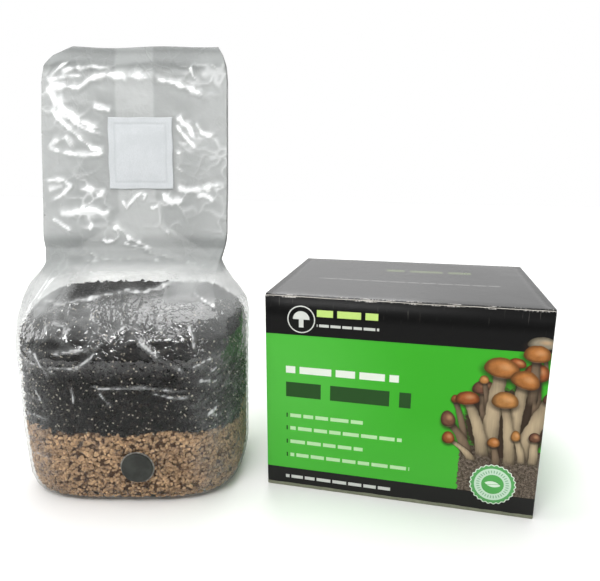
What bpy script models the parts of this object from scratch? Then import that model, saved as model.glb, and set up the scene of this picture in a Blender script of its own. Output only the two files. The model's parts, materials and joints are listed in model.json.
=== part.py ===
"""Mushroom grow kit: a filled, gusseted grow bag standing beside its tuck-top carton.

Metres, +Z up, +X along the carton's width, +Y towards the back.  The origin is on the table,
under the middle of the whole kit.  The bag is modelled in its own frame (u across its face,
v towards its back, z up) and turned into place by one empty.
"""
import math

import bmesh
import bpy
from mathutils import Vector

GAP = 0.0003  # clearance kept between pieces that touch
ROUNDING_ANGLE = math.radians(50)  # sharper edges than this are rounded
CORNER_STEPS = 6  # straight steps around each rounded corner of the flaps

# ---- carton -------------------------------------------------------------------------------
CARTON_WIDTH = 0.216
CARTON_DEPTH = 0.165
CARTON_HEIGHT = 0.170
BOARD = 0.0015
CARTON_CENTRE = (0.1099, 0.0329)
TUCK_DEPTH = 0.018  # how far the lid's tuck flap reaches down behind the front wall
TUCK_SETBACK = 0.0030  # from the front wall's outer face to the tuck flap
TUCK_SIDE_CUT = 0.004
LID_FRONT_SETBACK = 0.0012
DUST_REACH = 0.060  # how far each dust flap reaches across the mouth
DUST_FRONT_CUT = 0.009
DUST_BACK_CUT = 0.0045
DUST_TAPER = 0.006
DUST_CORNER = 0.008
TUCK_CORNER = 0.011

# ---- bag ----------------------------------------------------------------------------------
BAG_CENTRE = (-0.1190, -0.0362)
BAG_TURN = math.radians(12.5)
FILM = 0.0006
SIDES = 48  # points around each section
ROUNDNESS = 3.4  # exponent of the rounded-rectangle sections
# Each section: height, left edge, right edge, front edge, back edge.
BAG_SECTIONS = (
    (0.0000, -0.0740, 0.0735, -0.0590, 0.0590),
    (0.0050, -0.0890, 0.0885, -0.0690, 0.0685),
    (0.0140, -0.0920, 0.0920, -0.0715, 0.0710),
    (0.0300, -0.0932, 0.0925, -0.0724, 0.0720),
    (0.0600, -0.0940, 0.0932, -0.0725, 0.0725),
    (0.1000, -0.0922, 0.0938, -0.0725, 0.0725),
    (0.1250, -0.0928, 0.0950, -0.0705, 0.0715),
    (0.1380, -0.0950, 0.0955, -0.0645, 0.0695),
    (0.1500, -0.0960, 0.0935, -0.0505, 0.0635),
    (0.1600, -0.0960, 0.0880, -0.0345, 0.0540),
    (0.1700, -0.0935, 0.0815, -0.0180, 0.0430),
    (0.1780, -0.0890, 0.0780, -0.0025, 0.0330),
    (0.1870, -0.0865, 0.0768, 0.0095, 0.0250),
    (0.1980, -0.0855, 0.0775, 0.0165, 0.0225),
    (0.2500, -0.0840, 0.0790, 0.0243, 0.0293),
    (0.3000, -0.0830, 0.0795, 0.0315, 0.0365),
    (0.3400, -0.0810, 0.0800, 0.0370, 0.0420),
    (0.3520, -0.0785, 0.0790, 0.0387, 0.0437),
    (0.3610, -0.0710, 0.0765, 0.0399, 0.0449),
    (0.3685, -0.0540, 0.0720, 0.0406, 0.0456),
)

# ---- filling ------------------------------------------------------------------------------
FILL_INSET = FILM + GAP + 0.0006
FILL_LIFT = FILM + GAP + 0.0002  # height of the filling's underside above the table
GRAIN_TOP = 0.0615
GRAIN_STEPS = (0.0, 0.005, 0.014, 0.030)  # heights of the grain's sections below its top
GRAIN_WAVE = 0.0020  # rise and fall of the line between grain and substrate
GRAIN_WAVE_TURN = 38.0  # radians of that wave in each metre across the bag
GRAIN_WAVE_START = 0.6
# Each step of the substrate above the grain: height, extra inset at the two sides.
SUBSTRATE_STEPS = (
    (0.0675, 0.0),
    (0.085, 0.0),
    (0.105, 0.0),
    (0.125, 0.0),
    (0.136, 0.0005),
    (0.146, 0.004),
    (0.156, 0.012),
    (0.164, 0.022),
    (0.170, 0.036),
)
CROWN_CLEARANCE = 0.0008  # extra inset where the film slopes in over the crown
CROWN_START = 0.130

# ---- patch and port -----------------------------------------------------------------------
PATCH_WIDTH = 0.0560
PATCH_HEIGHT = 0.0610
PATCH_THICKNESS = 0.0006
PATCH_U = 0.0034
PATCH_Z = 0.2792
PORT_DIAMETER = 0.0250
PORT_THICKNESS = 0.0022
PORT_ROUNDING = 0.0004
PORT_U = 0.0142
PORT_Z = 0.0358
ADHESIVE_DIAMETER = 0.0290
ADHESIVE_THICKNESS = 0.0004
DISC_SIDES = 48
SURFACE_CLEARANCE = 0.0006  # from the film's surface to the back of what is stuck on it


def clear_scene():
    for thing in list(bpy.data.objects):
        bpy.data.objects.remove(thing, do_unlink=True)


def make_collection(name):
    collection = bpy.data.collections.new(name)
    bpy.context.scene.collection.children.link(collection)
    return collection


def make_material(name, colour, roughness, metallic=0.0, alpha=1.0):
    material = bpy.data.materials.new(name)
    material.use_nodes = True
    shader = material.node_tree.nodes["Principled BSDF"]
    shader.inputs["Base Color"].default_value = (*colour, 1.0)
    shader.inputs["Roughness"].default_value = roughness
    shader.inputs["Metallic"].default_value = metallic
    shader.inputs["Alpha"].default_value = alpha
    return material


def make_empty(name, place, turn, collection):
    empty = bpy.data.objects.new(name, None)
    empty.location = place
    empty.rotation_euler = (0.0, 0.0, turn)
    empty.empty_display_size = 0.02
    collection.objects.link(empty)
    return empty


def make_object(name, shape, material, parent, collection, place=(0.0, 0.0, 0.0)):
    """Turn a bmesh into a named object at a place in its parent's frame."""
    mesh = bpy.data.meshes.new(name)
    shape.to_mesh(mesh)
    shape.free()
    mesh.materials.append(material)
    piece = bpy.data.objects.new(name, mesh)
    piece.location = place
    piece.parent = parent
    collection.objects.link(piece)
    return piece


def box_shape(low, high):
    """A cube primitive stretched to the box between two corners."""
    shape = bmesh.new()
    bmesh.ops.create_cube(shape, size=1.0)
    size = Vector(high) - Vector(low)
    centre = (Vector(high) + Vector(low)) / 2
    bmesh.ops.scale(shape, vec=size, verts=shape.verts)
    bmesh.ops.translate(shape, vec=centre, verts=shape.verts)
    return shape


def round_corners(shape, edges, radius, segments):
    bmesh.ops.bevel(
        shape, geom=edges, offset=radius, segments=segments, profile=0.5, affect="EDGES", material=-1
    )


def add_wall(piece, thickness):
    solidify = piece.modifiers.new("wall", "SOLIDIFY")
    solidify.thickness = thickness
    solidify.offset = -1.0
    solidify.use_even_offset = True


def add_rounding(piece, width, segments):
    bevel = piece.modifiers.new("rounding", "BEVEL")
    bevel.width = width
    bevel.segments = segments
    bevel.limit_method = "ANGLE"
    bevel.angle_limit = ROUNDING_ANGLE


# ---- bag sections -------------------------------------------------------------------------
def bag_section(height, inset=0.0):
    """Left, right, front and back edges of the bag at a height, moved in by an inset."""
    below = BAG_SECTIONS[0]
    above = BAG_SECTIONS[-1]
    for lower, upper in zip(BAG_SECTIONS, BAG_SECTIONS[1:]):
        if lower[0] <= height <= upper[0]:
            below, above = lower, upper
            break
    part = (height - below[0]) / (above[0] - below[0])
    left, right, front, back = (a + (b - a) * part for a, b in zip(below[1:], above[1:]))
    return left + inset, right - inset, front + inset, back - inset


def section_ring(height, inset=0.0, side_inset=0.0, lift=None):
    """Points of a rounded rectangle around the bag, as (u, v, z)."""
    left, right, front, back = bag_section(height, inset)
    centre_u, half_u = (left + right) / 2, (right - left) / 2 - side_inset
    centre_v, half_v = (front + back) / 2, (back - front) / 2
    ring = []
    for step in range(SIDES):
        angle = 2 * math.pi * step / SIDES
        across = math.copysign(abs(math.cos(angle)) ** (2 / ROUNDNESS), math.cos(angle))
        along = math.copysign(abs(math.sin(angle)) ** (2 / ROUNDNESS), math.sin(angle))
        u = centre_u + half_u * across
        v = centre_v + half_v * along
        ring.append(Vector((u, v, height + (lift(u) if lift else 0.0))))
    return ring


def cap_ring(shape, row, upwards):
    """Close a ring with strips from its front to its back, each of them flat."""
    for step in range(SIDES // 2):
        strip = [row[step], row[step + 1], row[SIDES - step - 1], row[(SIDES - step) % SIDES]]
        corners = list(dict.fromkeys(strip))
        shape.faces.new(corners if upwards else reversed(corners))


def loft(rings, cap_top=True):
    """Skin between rings of unlike rounded rectangles, from the lowest to the highest."""
    shape = bmesh.new()
    rows = [[shape.verts.new(point) for point in ring] for ring in rings]
    for low, high in zip(rows, rows[1:]):
        for step in range(SIDES):
            after = (step + 1) % SIDES
            shape.faces.new((low[step], low[after], high[after], high[step]))
    cap_ring(shape, rows[0], upwards=False)
    if cap_top:
        cap_ring(shape, rows[-1], upwards=True)
    return shape


def grain_wave(u):
    """Gentle rise and fall of the line where the grain meets the substrate."""
    return GRAIN_WAVE * math.sin(GRAIN_WAVE_TURN * u + GRAIN_WAVE_START)


# ---- bag pieces ---------------------------------------------------------------------------
def build_film(bag, parts):
    rings = [section_ring(section[0]) for section in BAG_SECTIONS]
    film = make_object("bag_film", loft(rings, cap_top=False), FILM_MATERIAL, bag, parts)
    add_wall(film, FILM)
    return film


def build_grain(bag, parts):
    rings = []
    for height in GRAIN_STEPS:
        outline = section_ring(height, FILL_INSET)
        rings.append([point + Vector((0.0, 0.0, FILL_LIFT)) for point in outline])
    rings.append(section_ring(GRAIN_TOP, FILL_INSET, lift=grain_wave))
    return make_object("grain", loft(rings), GRAIN_MATERIAL, bag, parts)


def build_substrate(bag, parts):
    rings = [section_ring(GRAIN_TOP + GAP, FILL_INSET, lift=grain_wave)]
    for height, side_inset in SUBSTRATE_STEPS:
        inset = FILL_INSET + (CROWN_CLEARANCE if height > CROWN_START else 0.0)
        rings.append(section_ring(height, inset, side_inset))
    return make_object("substrate", loft(rings), SUBSTRATE_MATERIAL, bag, parts)


def front_lean(low, high):
    """Angle by which the bag's front face leans back between two heights."""
    run = bag_section(high)[2] - bag_section(low)[2]
    return math.atan2(run, high - low)


def build_patch(bag, parts):
    half = Vector((PATCH_WIDTH, PATCH_THICKNESS, PATCH_HEIGHT)) / 2
    patch = make_object("filter_patch", box_shape(-half, half), PATCH_MATERIAL, bag, parts)
    lean = front_lean(PATCH_Z - half.z, PATCH_Z + half.z)
    front = bag_section(PATCH_Z)[2]
    patch.location = (PATCH_U, front - SURFACE_CLEARANCE - half.y, PATCH_Z)
    patch.rotation_euler = (-lean, 0.0, 0.0)
    return patch


def build_disc(name, diameter, thickness, clearance, material, bag, parts):
    """A round disc lying against the lower front face of the bag."""
    disc = bmesh.new()
    bmesh.ops.create_cone(
        disc, cap_ends=True, segments=DISC_SIDES, radius1=diameter / 2, radius2=diameter / 2,
        depth=thickness,
    )
    piece = make_object(name, disc, material, bag, parts)
    lean = front_lean(PORT_Z - diameter / 2, PORT_Z + diameter / 2)
    front = bag_section(PORT_Z)[2]
    piece.location = (PORT_U, front - clearance - thickness / 2, PORT_Z)
    piece.rotation_euler = (math.radians(90) - lean, 0.0, 0.0)
    return piece


def build_port(bag, parts):
    build_disc(
        "port_adhesive", ADHESIVE_DIAMETER, ADHESIVE_THICKNESS, SURFACE_CLEARANCE,
        ADHESIVE_MATERIAL, bag, parts,
    )
    behind = SURFACE_CLEARANCE + ADHESIVE_THICKNESS + GAP
    port = build_disc("injection_port", PORT_DIAMETER, PORT_THICKNESS, behind, PORT_MATERIAL, bag, parts)
    add_rounding(port, PORT_ROUNDING, 2)
    return port


# ---- carton pieces ------------------------------------------------------------------------
def build_carton_body(carton, parts):
    """Four walls and a floor: an open box with the board's thickness inwards."""
    half_w, half_d = CARTON_WIDTH / 2, CARTON_DEPTH / 2
    shape = box_shape((-half_w, -half_d, 0.0), (half_w, half_d, WALL_TOP))
    top = [face for face in shape.faces if face.normal.z > 0.9]
    bmesh.ops.delete(shape, geom=top, context="FACES_ONLY")
    body = make_object("carton_body", shape, CARTON_MATERIAL, carton, parts)
    add_wall(body, BOARD)
    return body


def build_carton_lid(hinge, parts):
    """Lid and its tuck flap: one sheet bent at the front, its origin on the rear crease."""
    half_w = CARTON_WIDTH / 2
    lid_under = GAP / 2
    lid_over = lid_under + BOARD
    front = -CARTON_DEPTH + LID_FRONT_SETBACK
    lid = box_shape((-half_w, front, lid_under), (half_w, -GAP, lid_over))
    piece = make_object("carton_lid", lid, LID_MATERIAL, hinge, parts)

    tuck_front = -CARTON_DEPTH + TUCK_SETBACK
    tuck = box_shape(
        (-half_w + TUCK_SIDE_CUT, tuck_front, lid_under - TUCK_DEPTH),
        (half_w - TUCK_SIDE_CUT, tuck_front + BOARD, lid_under + BOARD / 2),
    )
    corners = [
        edge for edge in tuck.edges
        if all(vert.co.z < -TUCK_DEPTH / 2 for vert in edge.verts)
        and abs(edge.verts[0].co.y - edge.verts[1].co.y) > BOARD / 2
    ]
    round_corners(tuck, corners, TUCK_CORNER, CORNER_STEPS)
    flap = make_object("tuck_flap_shape", tuck, LID_MATERIAL, hinge, CUTTERS)
    flap.hide_render = True
    flap.display_type = "WIRE"

    join = piece.modifiers.new("tuck flap", "BOOLEAN")
    join.operation = "UNION"
    join.object = flap
    join.solver = "EXACT"
    return piece


def build_dust_flap(name, hinge, side, parts):
    """A flap that folds in over the mouth; side is +1 where it reaches towards +X."""
    near, far = sorted((side * GAP / 2, side * DUST_REACH))
    front = -CARTON_DEPTH / 2 + DUST_FRONT_CUT
    back = CARTON_DEPTH / 2 - DUST_BACK_CUT
    shape = box_shape((near, front, 0.0), (far, back, BOARD))
    for vert in shape.verts:
        if abs(vert.co.x) > DUST_REACH / 2:
            vert.co.y -= math.copysign(DUST_TAPER, vert.co.y)
    corners = [
        edge for edge in shape.edges
        if all(abs(vert.co.x) > DUST_REACH / 2 for vert in edge.verts)
        and abs(edge.verts[0].co.z - edge.verts[1].co.z) > BOARD / 2
    ]
    round_corners(shape, corners, DUST_CORNER, CORNER_STEPS)
    return make_object(name, shape, BOARD_MATERIAL, hinge, parts)


# ---- build --------------------------------------------------------------------------------
WALL_TOP = CARTON_HEIGHT - BOARD - GAP

clear_scene()
PARTS = make_collection("mushroom_grow_kit")
CUTTERS = make_collection("cutters")

FILM_MATERIAL = make_material("clear_film", (0.78, 0.80, 0.79), 0.15, alpha=0.35)
GRAIN_MATERIAL = make_material("grain", (0.42, 0.26, 0.13), 0.75)
SUBSTRATE_MATERIAL = make_material("substrate", (0.025, 0.020, 0.016), 0.9)
PATCH_MATERIAL = make_material("filter_patch", (0.86, 0.87, 0.87), 0.8)
PORT_MATERIAL = make_material("black_rubber", (0.035, 0.035, 0.03), 0.6)
ADHESIVE_MATERIAL = make_material("adhesive", (0.70, 0.72, 0.70), 0.4)
CARTON_MATERIAL = make_material("printed_board", (0.07, 0.42, 0.04), 0.35)
LID_MATERIAL = make_material("black_board", (0.02, 0.02, 0.02), 0.3)
BOARD_MATERIAL = make_material("plain_board", (0.55, 0.50, 0.42), 0.8)

BAG = make_empty("bag_frame", (*BAG_CENTRE, 0.0), BAG_TURN, PARTS)
build_film(BAG, PARTS)
build_grain(BAG, PARTS)
build_substrate(BAG, PARTS)
build_patch(BAG, PARTS)
build_port(BAG, PARTS)

CARTON = make_empty("carton_frame", (*CARTON_CENTRE, 0.0), 0.0, PARTS)
build_carton_body(CARTON, PARTS)

LID_HINGE = make_empty("lid_hinge", (0.0, CARTON_DEPTH / 2, WALL_TOP + GAP / 2), 0.0, PARTS)
LID_HINGE.parent = CARTON
build_carton_lid(LID_HINGE, PARTS)

DUST_HEIGHT = WALL_TOP - BOARD
DUST_X = CARTON_WIDTH / 2 - BOARD - GAP / 2
for flap_name, flap_side in (("dust_flap_left", 1), ("dust_flap_right", -1)):
    flap_hinge = make_empty(flap_name + "_hinge", (-flap_side * DUST_X, 0.0, DUST_HEIGHT), 0.0, PARTS)
    flap_hinge.parent = CARTON
    build_dust_flap(flap_name, flap_hinge, flap_side, PARTS)
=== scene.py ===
# %% [markdown]
# # A mushroom grow kit: the filled bag and its carton
#
# On a bench this kit is two things. One is a clear gusseted bag with a brown layer of soaked
# grain, a dark layer of substrate, a white breather patch and a black injection port. The other
# is the tuck-top carton it came in. The frame already holds the working solids at their real
# places. This notebook builds what the eye sees: wrinkled film, loose grains, printed board.

# %% Load the frame
import json
import math

import bmesh
import bpy
import numpy as np
from mathutils import Matrix, Vector, noise


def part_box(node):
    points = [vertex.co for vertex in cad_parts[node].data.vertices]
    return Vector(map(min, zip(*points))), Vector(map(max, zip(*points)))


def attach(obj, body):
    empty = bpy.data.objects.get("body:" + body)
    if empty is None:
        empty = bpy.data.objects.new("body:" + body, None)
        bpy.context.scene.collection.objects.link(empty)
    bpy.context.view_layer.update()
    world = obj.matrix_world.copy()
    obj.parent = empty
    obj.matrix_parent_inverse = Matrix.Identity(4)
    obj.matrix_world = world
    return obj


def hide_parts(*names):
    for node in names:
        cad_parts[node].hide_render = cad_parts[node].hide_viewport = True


noise.seed_set(1)  # without a seed, noise_vector starts from the clock

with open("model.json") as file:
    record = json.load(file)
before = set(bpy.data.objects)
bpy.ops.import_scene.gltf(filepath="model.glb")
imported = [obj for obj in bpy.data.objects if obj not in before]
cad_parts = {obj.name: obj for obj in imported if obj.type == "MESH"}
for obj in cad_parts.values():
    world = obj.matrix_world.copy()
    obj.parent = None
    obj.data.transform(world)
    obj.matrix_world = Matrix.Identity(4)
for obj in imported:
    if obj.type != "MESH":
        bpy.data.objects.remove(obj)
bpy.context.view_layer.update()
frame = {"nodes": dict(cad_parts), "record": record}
MOUNTS = {mount["name"]: mount for mount in frame["record"]["mounts"]}

# %% [markdown]
# ## Places, read from the frame
#
# Nothing here is placed by eye. The carton's walls come from its node's box. The bag stands
# turned, and the direction its injection port faces tells by how much.

# %% Carton and bag places
CARTON_LOW, WALLS_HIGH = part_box("carton_body")
LID_LOW, LID_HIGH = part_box("carton_lid")
CARTON_MIDDLE = (CARTON_LOW + WALLS_HIGH) / 2
CARTON_SIZE = WALLS_HIGH - CARTON_LOW
BOARD = 0.0015
SLIT = 0.0003
port_axis = Vector(MOUNTS["port_face"]["axis"])
BAG_TURN = math.atan2(port_axis.x, -port_axis.y)
BAG_PLACE = Vector(MOUNTS["bag_base"]["pos_m"])
TO_BAG = Matrix.Rotation(-BAG_TURN, 4, "Z") @ Matrix.Translation(-BAG_PLACE)
FROM_BAG = TO_BAG.inverted()
print("carton", [round(x, 4) for x in CARTON_SIZE], "bag turned", round(math.degrees(BAG_TURN), 1))

# %% [markdown]
# ## Camera
#
# A phone held a little above the carton, about half a metre away, tilted down by 14 degrees. The
# lens is wide, so the carton's right side runs away and the lid shows.

# %% Camera
CAMERA_FROM_CARTON = Vector((0.1209, -0.3955, 0.2735))
camera_data = bpy.data.cameras.new("camera")
camera_data.sensor_width = 36.0
camera_data.lens = 32.04
camera = bpy.data.objects.new("camera", camera_data)
bpy.context.scene.collection.objects.link(camera)
camera.location = Vector((CARTON_LOW.x, CARTON_LOW.y, 0.0)) + CAMERA_FROM_CARTON
camera.rotation_euler = (math.radians(90 - 13.73), 0.0, math.radians(13.11))
bpy.context.scene.camera = camera
print("camera at", [round(x, 3) for x in camera.location])

# %% [markdown]
# ## Small helpers for nodes
#
# Every finish below is a short list of nodes. These helpers make one node each, join it up and
# hand back its output, so that a material reads like a sentence. A socket knows which node tree
# it is in, so most helpers find the tree from what they are given.

# %% Node helpers
def new_material(name):
    material = bpy.data.materials.new(name)
    material.use_nodes = True
    material.node_tree.nodes.clear()
    return material


def add_node(tree, kind, **settings):
    node = tree.nodes.new(kind)
    for name, value in settings.items():
        setattr(node, name, value)
    return node


def feed(socket, value):
    """Give a socket another node's output, or a plain value."""
    if isinstance(value, bpy.types.NodeSocket):
        socket.id_data.links.new(value, socket)
    elif isinstance(value, tuple) and len(value) == 3 and socket.type == "RGBA":
        socket.default_value = (*value, 1.0)
    elif value is not None:
        socket.default_value = value


def tree_of(*values):
    return next(value.id_data for value in values if isinstance(value, bpy.types.NodeSocket))


def math_step(operation):
    """A function that makes a Math node: `plus(a, b)` hands back the node's output."""
    def step(first, second=None, clamp=False):
        node = add_node(tree_of(first, second), "ShaderNodeMath", operation=operation, use_clamp=clamp)
        feed(node.inputs[0], first)
        feed(node.inputs[1], second)
        return node.outputs[0]
    return step


plus, minus = math_step("ADD"), math_step("SUBTRACT")
times, over = math_step("MULTIPLY"), math_step("DIVIDE")
least, most = math_step("MINIMUM"), math_step("MAXIMUM")
above, below = math_step("GREATER_THAN"), math_step("LESS_THAN")
size_of, angle_of = math_step("ABSOLUTE"), math_step("ARCTAN2")
sine, cosine = math_step("SINE"), math_step("COSINE")


def vector_node(operation, first, second=None):
    node = add_node(tree_of(first, second), "ShaderNodeVectorMath", operation=operation)
    feed(node.inputs[0], first)
    feed(node.inputs[1], second)
    return node.outputs["Value" if operation == "LENGTH" else "Vector"]


def colour_mix(amount, first, second, blend="MIX"):
    node = add_node(tree_of(amount, first, second), "ShaderNodeMix", data_type="RGBA", blend_type=blend)
    # The Mix node keeps one set of sockets for each data type; the colour ones are 6 and 7.
    feed(node.inputs[0], amount)
    feed(node.inputs[6], first)
    feed(node.inputs[7], second)
    return node.outputs[2]


def fade(value, low, high, to_low=0.0, to_high=1.0):
    """A soft step from one value to another while the input runs from low to high."""
    node = add_node(tree_of(value), "ShaderNodeMapRange", interpolation_type="SMOOTHSTEP")
    feed(node.inputs["Value"], value)
    for name, number in (("From Min", low), ("From Max", high), ("To Min", to_low), ("To Max", to_high)):
        feed(node.inputs[name], number)
    return node.outputs[0]


def noise_node(vector, scale, detail=3.0, roughness=0.5, distortion=0.0, output="Fac"):
    node = add_node(tree_of(vector), "ShaderNodeTexNoise")
    feed(node.inputs["Vector"], vector)
    numbers = {"Scale": scale, "Detail": detail, "Roughness": roughness, "Distortion": distortion}
    for name, number in numbers.items():
        node.inputs[name].default_value = number
    return node.outputs[output]


def cell_walls(vector, scale):
    """The distance to the nearest wall between random cells."""
    node = add_node(tree_of(vector), "ShaderNodeTexVoronoi", feature="DISTANCE_TO_EDGE")
    feed(node.inputs["Vector"], vector)
    node.inputs["Scale"].default_value = scale
    return node.outputs["Distance"]


def bump_node(height, strength, distance):
    node = add_node(tree_of(height), "ShaderNodeBump")
    node.inputs["Strength"].default_value = strength
    node.inputs["Distance"].default_value = distance
    feed(node.inputs["Height"], height)
    return node.outputs[0]


def object_place(tree):
    return add_node(tree, "ShaderNodeTexCoord").outputs["Object"]


def attribute(tree, name):
    return add_node(tree, "ShaderNodeAttribute", attribute_name=name).outputs["Fac"]


def parts_of(vector):
    node = add_node(tree_of(vector), "ShaderNodeSeparateXYZ")
    feed(node.inputs[0], vector)
    return node.outputs


def joined(x, y, z=0.0):
    node = add_node(tree_of(x, y, z), "ShaderNodeCombineXYZ")
    for socket, value in zip(node.inputs, (x, y, z)):
        feed(socket, value)
    return node.outputs[0]


def principled(tree, **settings):
    """A Principled shader with named inputs: a value stays on the socket, an output is linked."""
    shader = add_node(tree, "ShaderNodeBsdfPrincipled")
    for name, value in settings.items():
        feed(shader.inputs[name.replace("_", " ")], value)
    return shader.outputs[0]


def mix_shaders(amount, first, second):
    node = add_node(tree_of(first), "ShaderNodeMixShader")
    for socket, value in zip(node.inputs, (amount, first, second)):
        feed(socket, value)
    return node.outputs[0]


def finish_material(shader):
    feed(add_node(shader.id_data, "ShaderNodeOutputMaterial").inputs["Surface"], shader)


def new_group(name, inputs, outputs):
    """A shader node group with named sockets: each is (name, kind, default)."""
    group = bpy.data.node_groups.new(name, "ShaderNodeTree")
    for label, kind, default in inputs:
        socket = group.interface.new_socket(label, in_out="INPUT", socket_type="NodeSocket" + kind)
        if default is not None:
            socket.default_value = default
    for label, kind in outputs:
        group.interface.new_socket(label, in_out="OUTPUT", socket_type="NodeSocket" + kind)
    given = {socket.name: socket for socket in add_node(group, "NodeGroupInput").outputs if socket.name}
    return group, given, add_node(group, "NodeGroupOutput").inputs


def place_group(group, **values):
    node = add_node(tree_of(*values.values()), "ShaderNodeGroup", node_tree=group)
    for name, value in values.items():
        feed(node.inputs[name.replace("_", " ")], value)
    return node.outputs


print("node helpers ready")

# %% [markdown]
# ## Floor, sky and lamps
#
# Clear film is only seen by what it mirrors, so the light matters more here than for a solid
# thing. A plain pale sky lights everything softly. It is darker towards the horizon in front, so
# glossy black board stays black. Five large lamps give the film its bright creases.

# %% Floor and sky
scene = bpy.context.scene
scene.view_settings.view_transform = "Standard"
scene.cycles.transparent_max_bounces = 32

world = bpy.data.worlds.new("studio sky")
scene.world = world
world.use_nodes = True
sky = world.node_tree
sky.nodes.clear()
backdrop = add_node(sky, "ShaderNodeBackground")
feed(backdrop.inputs["Color"], (1.0, 1.0, 1.0))
room = add_node(sky, "ShaderNodeBackground")
direction = parts_of(add_node(sky, "ShaderNodeTexCoord").outputs["Generated"])
overhead = fade(direction[2], -0.1, 0.75, 0.0, 0.45)
behind = fade(direction[1], -0.60, 0.85, 0.05, 0.82)
feed(room.inputs["Color"], plus(overhead, behind))
seen = add_node(sky, "ShaderNodeLightPath").outputs["Is Camera Ray"]
feed(
    add_node(sky, "ShaderNodeOutputWorld").inputs[0],
    mix_shaders(seen, room.outputs[0], backdrop.outputs[0])
)

floor_material = new_material("pale table")
tree = floor_material.node_tree
# far from the lamps the table would turn grey, so it glows a little more with distance
glow = fade(vector_node("LENGTH", object_place(tree)), 0.6, 1.6, 0.0, 0.5)
finish_material(
    principled(
        tree, Base_Color=(0.93, 0.93, 0.92), Emission_Color=(1.0, 1.0, 1.0), Emission_Strength=glow,
        Roughness=0.6, Specular_IOR_Level=0.2
    )
)
FLOOR_HALF = 3.0
floor_shape = bmesh.new()
bmesh.ops.create_grid(floor_shape, x_segments=1, y_segments=1, size=FLOOR_HALF)
floor_mesh = bpy.data.meshes.new("floor")
floor_shape.to_mesh(floor_mesh)
floor_shape.free()
floor_mesh.materials.append(floor_material)
floor = bpy.data.objects.new("floor", floor_mesh)
scene.collection.objects.link(floor)
print("sky and floor made")

# %% Lamps
LAMPS = (
    # name, place, looks at, size, second size, watts
    ("high front softbox", (-0.15, -0.72, 1.15), (-0.05, 0.0, 0.15), 0.46, 0.32, 7.2),
    ("overhead softbox", (-0.10, 0.10, 1.25), (-0.05, 0.0, 0.15), 0.80, 0.60, 5.0),
    ("left softbox", (-1.10, -0.35, 0.65), (-0.12, 0.0, 0.20), 0.30, 0.70, 2.0),
    ("right window", (0.70, -0.95, 0.95), (-0.05, 0.0, 0.15), 0.22, 0.45, 1.2),
    ("back softbox", (-0.25, 0.95, 0.85), (-0.10, 0.0, 0.25), 0.80, 0.40, 4.0),
)
for name, place, target, wide, tall, watts in LAMPS:
    lamp_data = bpy.data.lights.new(name, "AREA")
    lamp_data.shape = "RECTANGLE"
    lamp_data.size = wide
    lamp_data.size_y = tall
    lamp_data.energy = watts
    lamp = bpy.data.objects.new(name, lamp_data)
    lamp.location = place
    lamp.rotation_euler = (Vector(target) - Vector(place)).to_track_quat("-Z", "Y").to_euler()
    scene.collection.objects.link(lamp)
print(len(LAMPS), "lamps")

# %% [markdown]
# ## Board: print, wear and raw edges
#
# The carton is folding board: white-grey inside, gloss print outside. Where the board is folded
# or cut, the print wears off in specks and the grey fibre shows. That wear is on the walls and on
# the lid, so it is one node group. It puts out a mask, and each material says what shows under it.

# %% Wear group
WEAR, given, wear_out = new_group(
    "board wear",
    [("Place", "Vector", None), ("Edge Distance", "Float", 1.0), ("Reach", "Float", 0.0012)],
    [("Worn", "Float"), ("Grain", "Float")],
)
fine = noise_node(given["Place"], 900.0, detail=4.0, roughness=0.7)
patches = noise_node(given["Place"], 90.0, detail=2.0)
ragged = times(given["Reach"], plus(fine, patches))
near_edge = below(given["Edge Distance"], ragged)
speck = fade(plus(fine, times(patches, 0.6)), 0.80, 0.92)
feed(wear_out["Worn"], times(near_edge, speck))
feed(wear_out["Grain"], noise_node(given["Place"], 260.0, detail=5.0))
print("wear group:", len(WEAR.nodes), "nodes")

# %% [markdown]
# ## The printed mushroom, as one group
#
# The carton's front shows a cluster of brown mushrooms. A picture like that is built here from
# one group, used again and again: it paints a stem and a domed cap over whatever is under it.
# The panel's own X and Z in metres are its canvas, so nothing slides when the carton moves.

# %% Printed mushroom group
def printed_after(panel, ink):
    """The panel place again, shifted by almost nothing that depends on the ink below.

    A renderer works out everything that is ready before it goes on, and holds all of it at once.
    With many shapes on one panel that is too much, so each shape waits for the one before."""
    return vector_node("ADD", panel, vector_node("MULTIPLY", ink, (1e-7, 1e-7, 0.0)))


PRINT_MUSHROOM, given, mushroom_out = new_group(
    "printed mushroom",
    [
        ("Panel", "Vector", None), ("Under", "Color", None), ("Cap Place", "Vector", None),
        ("Cap Half", "Vector", None), ("Turn", "Float", 0.0), ("Tone", "Color", None),
        ("Foot", "Vector", None), ("Stem Width", "Float", 0.008), ("Stem Tone", "Color", None)
    ],
    [("Color", "Color")],
)


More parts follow.
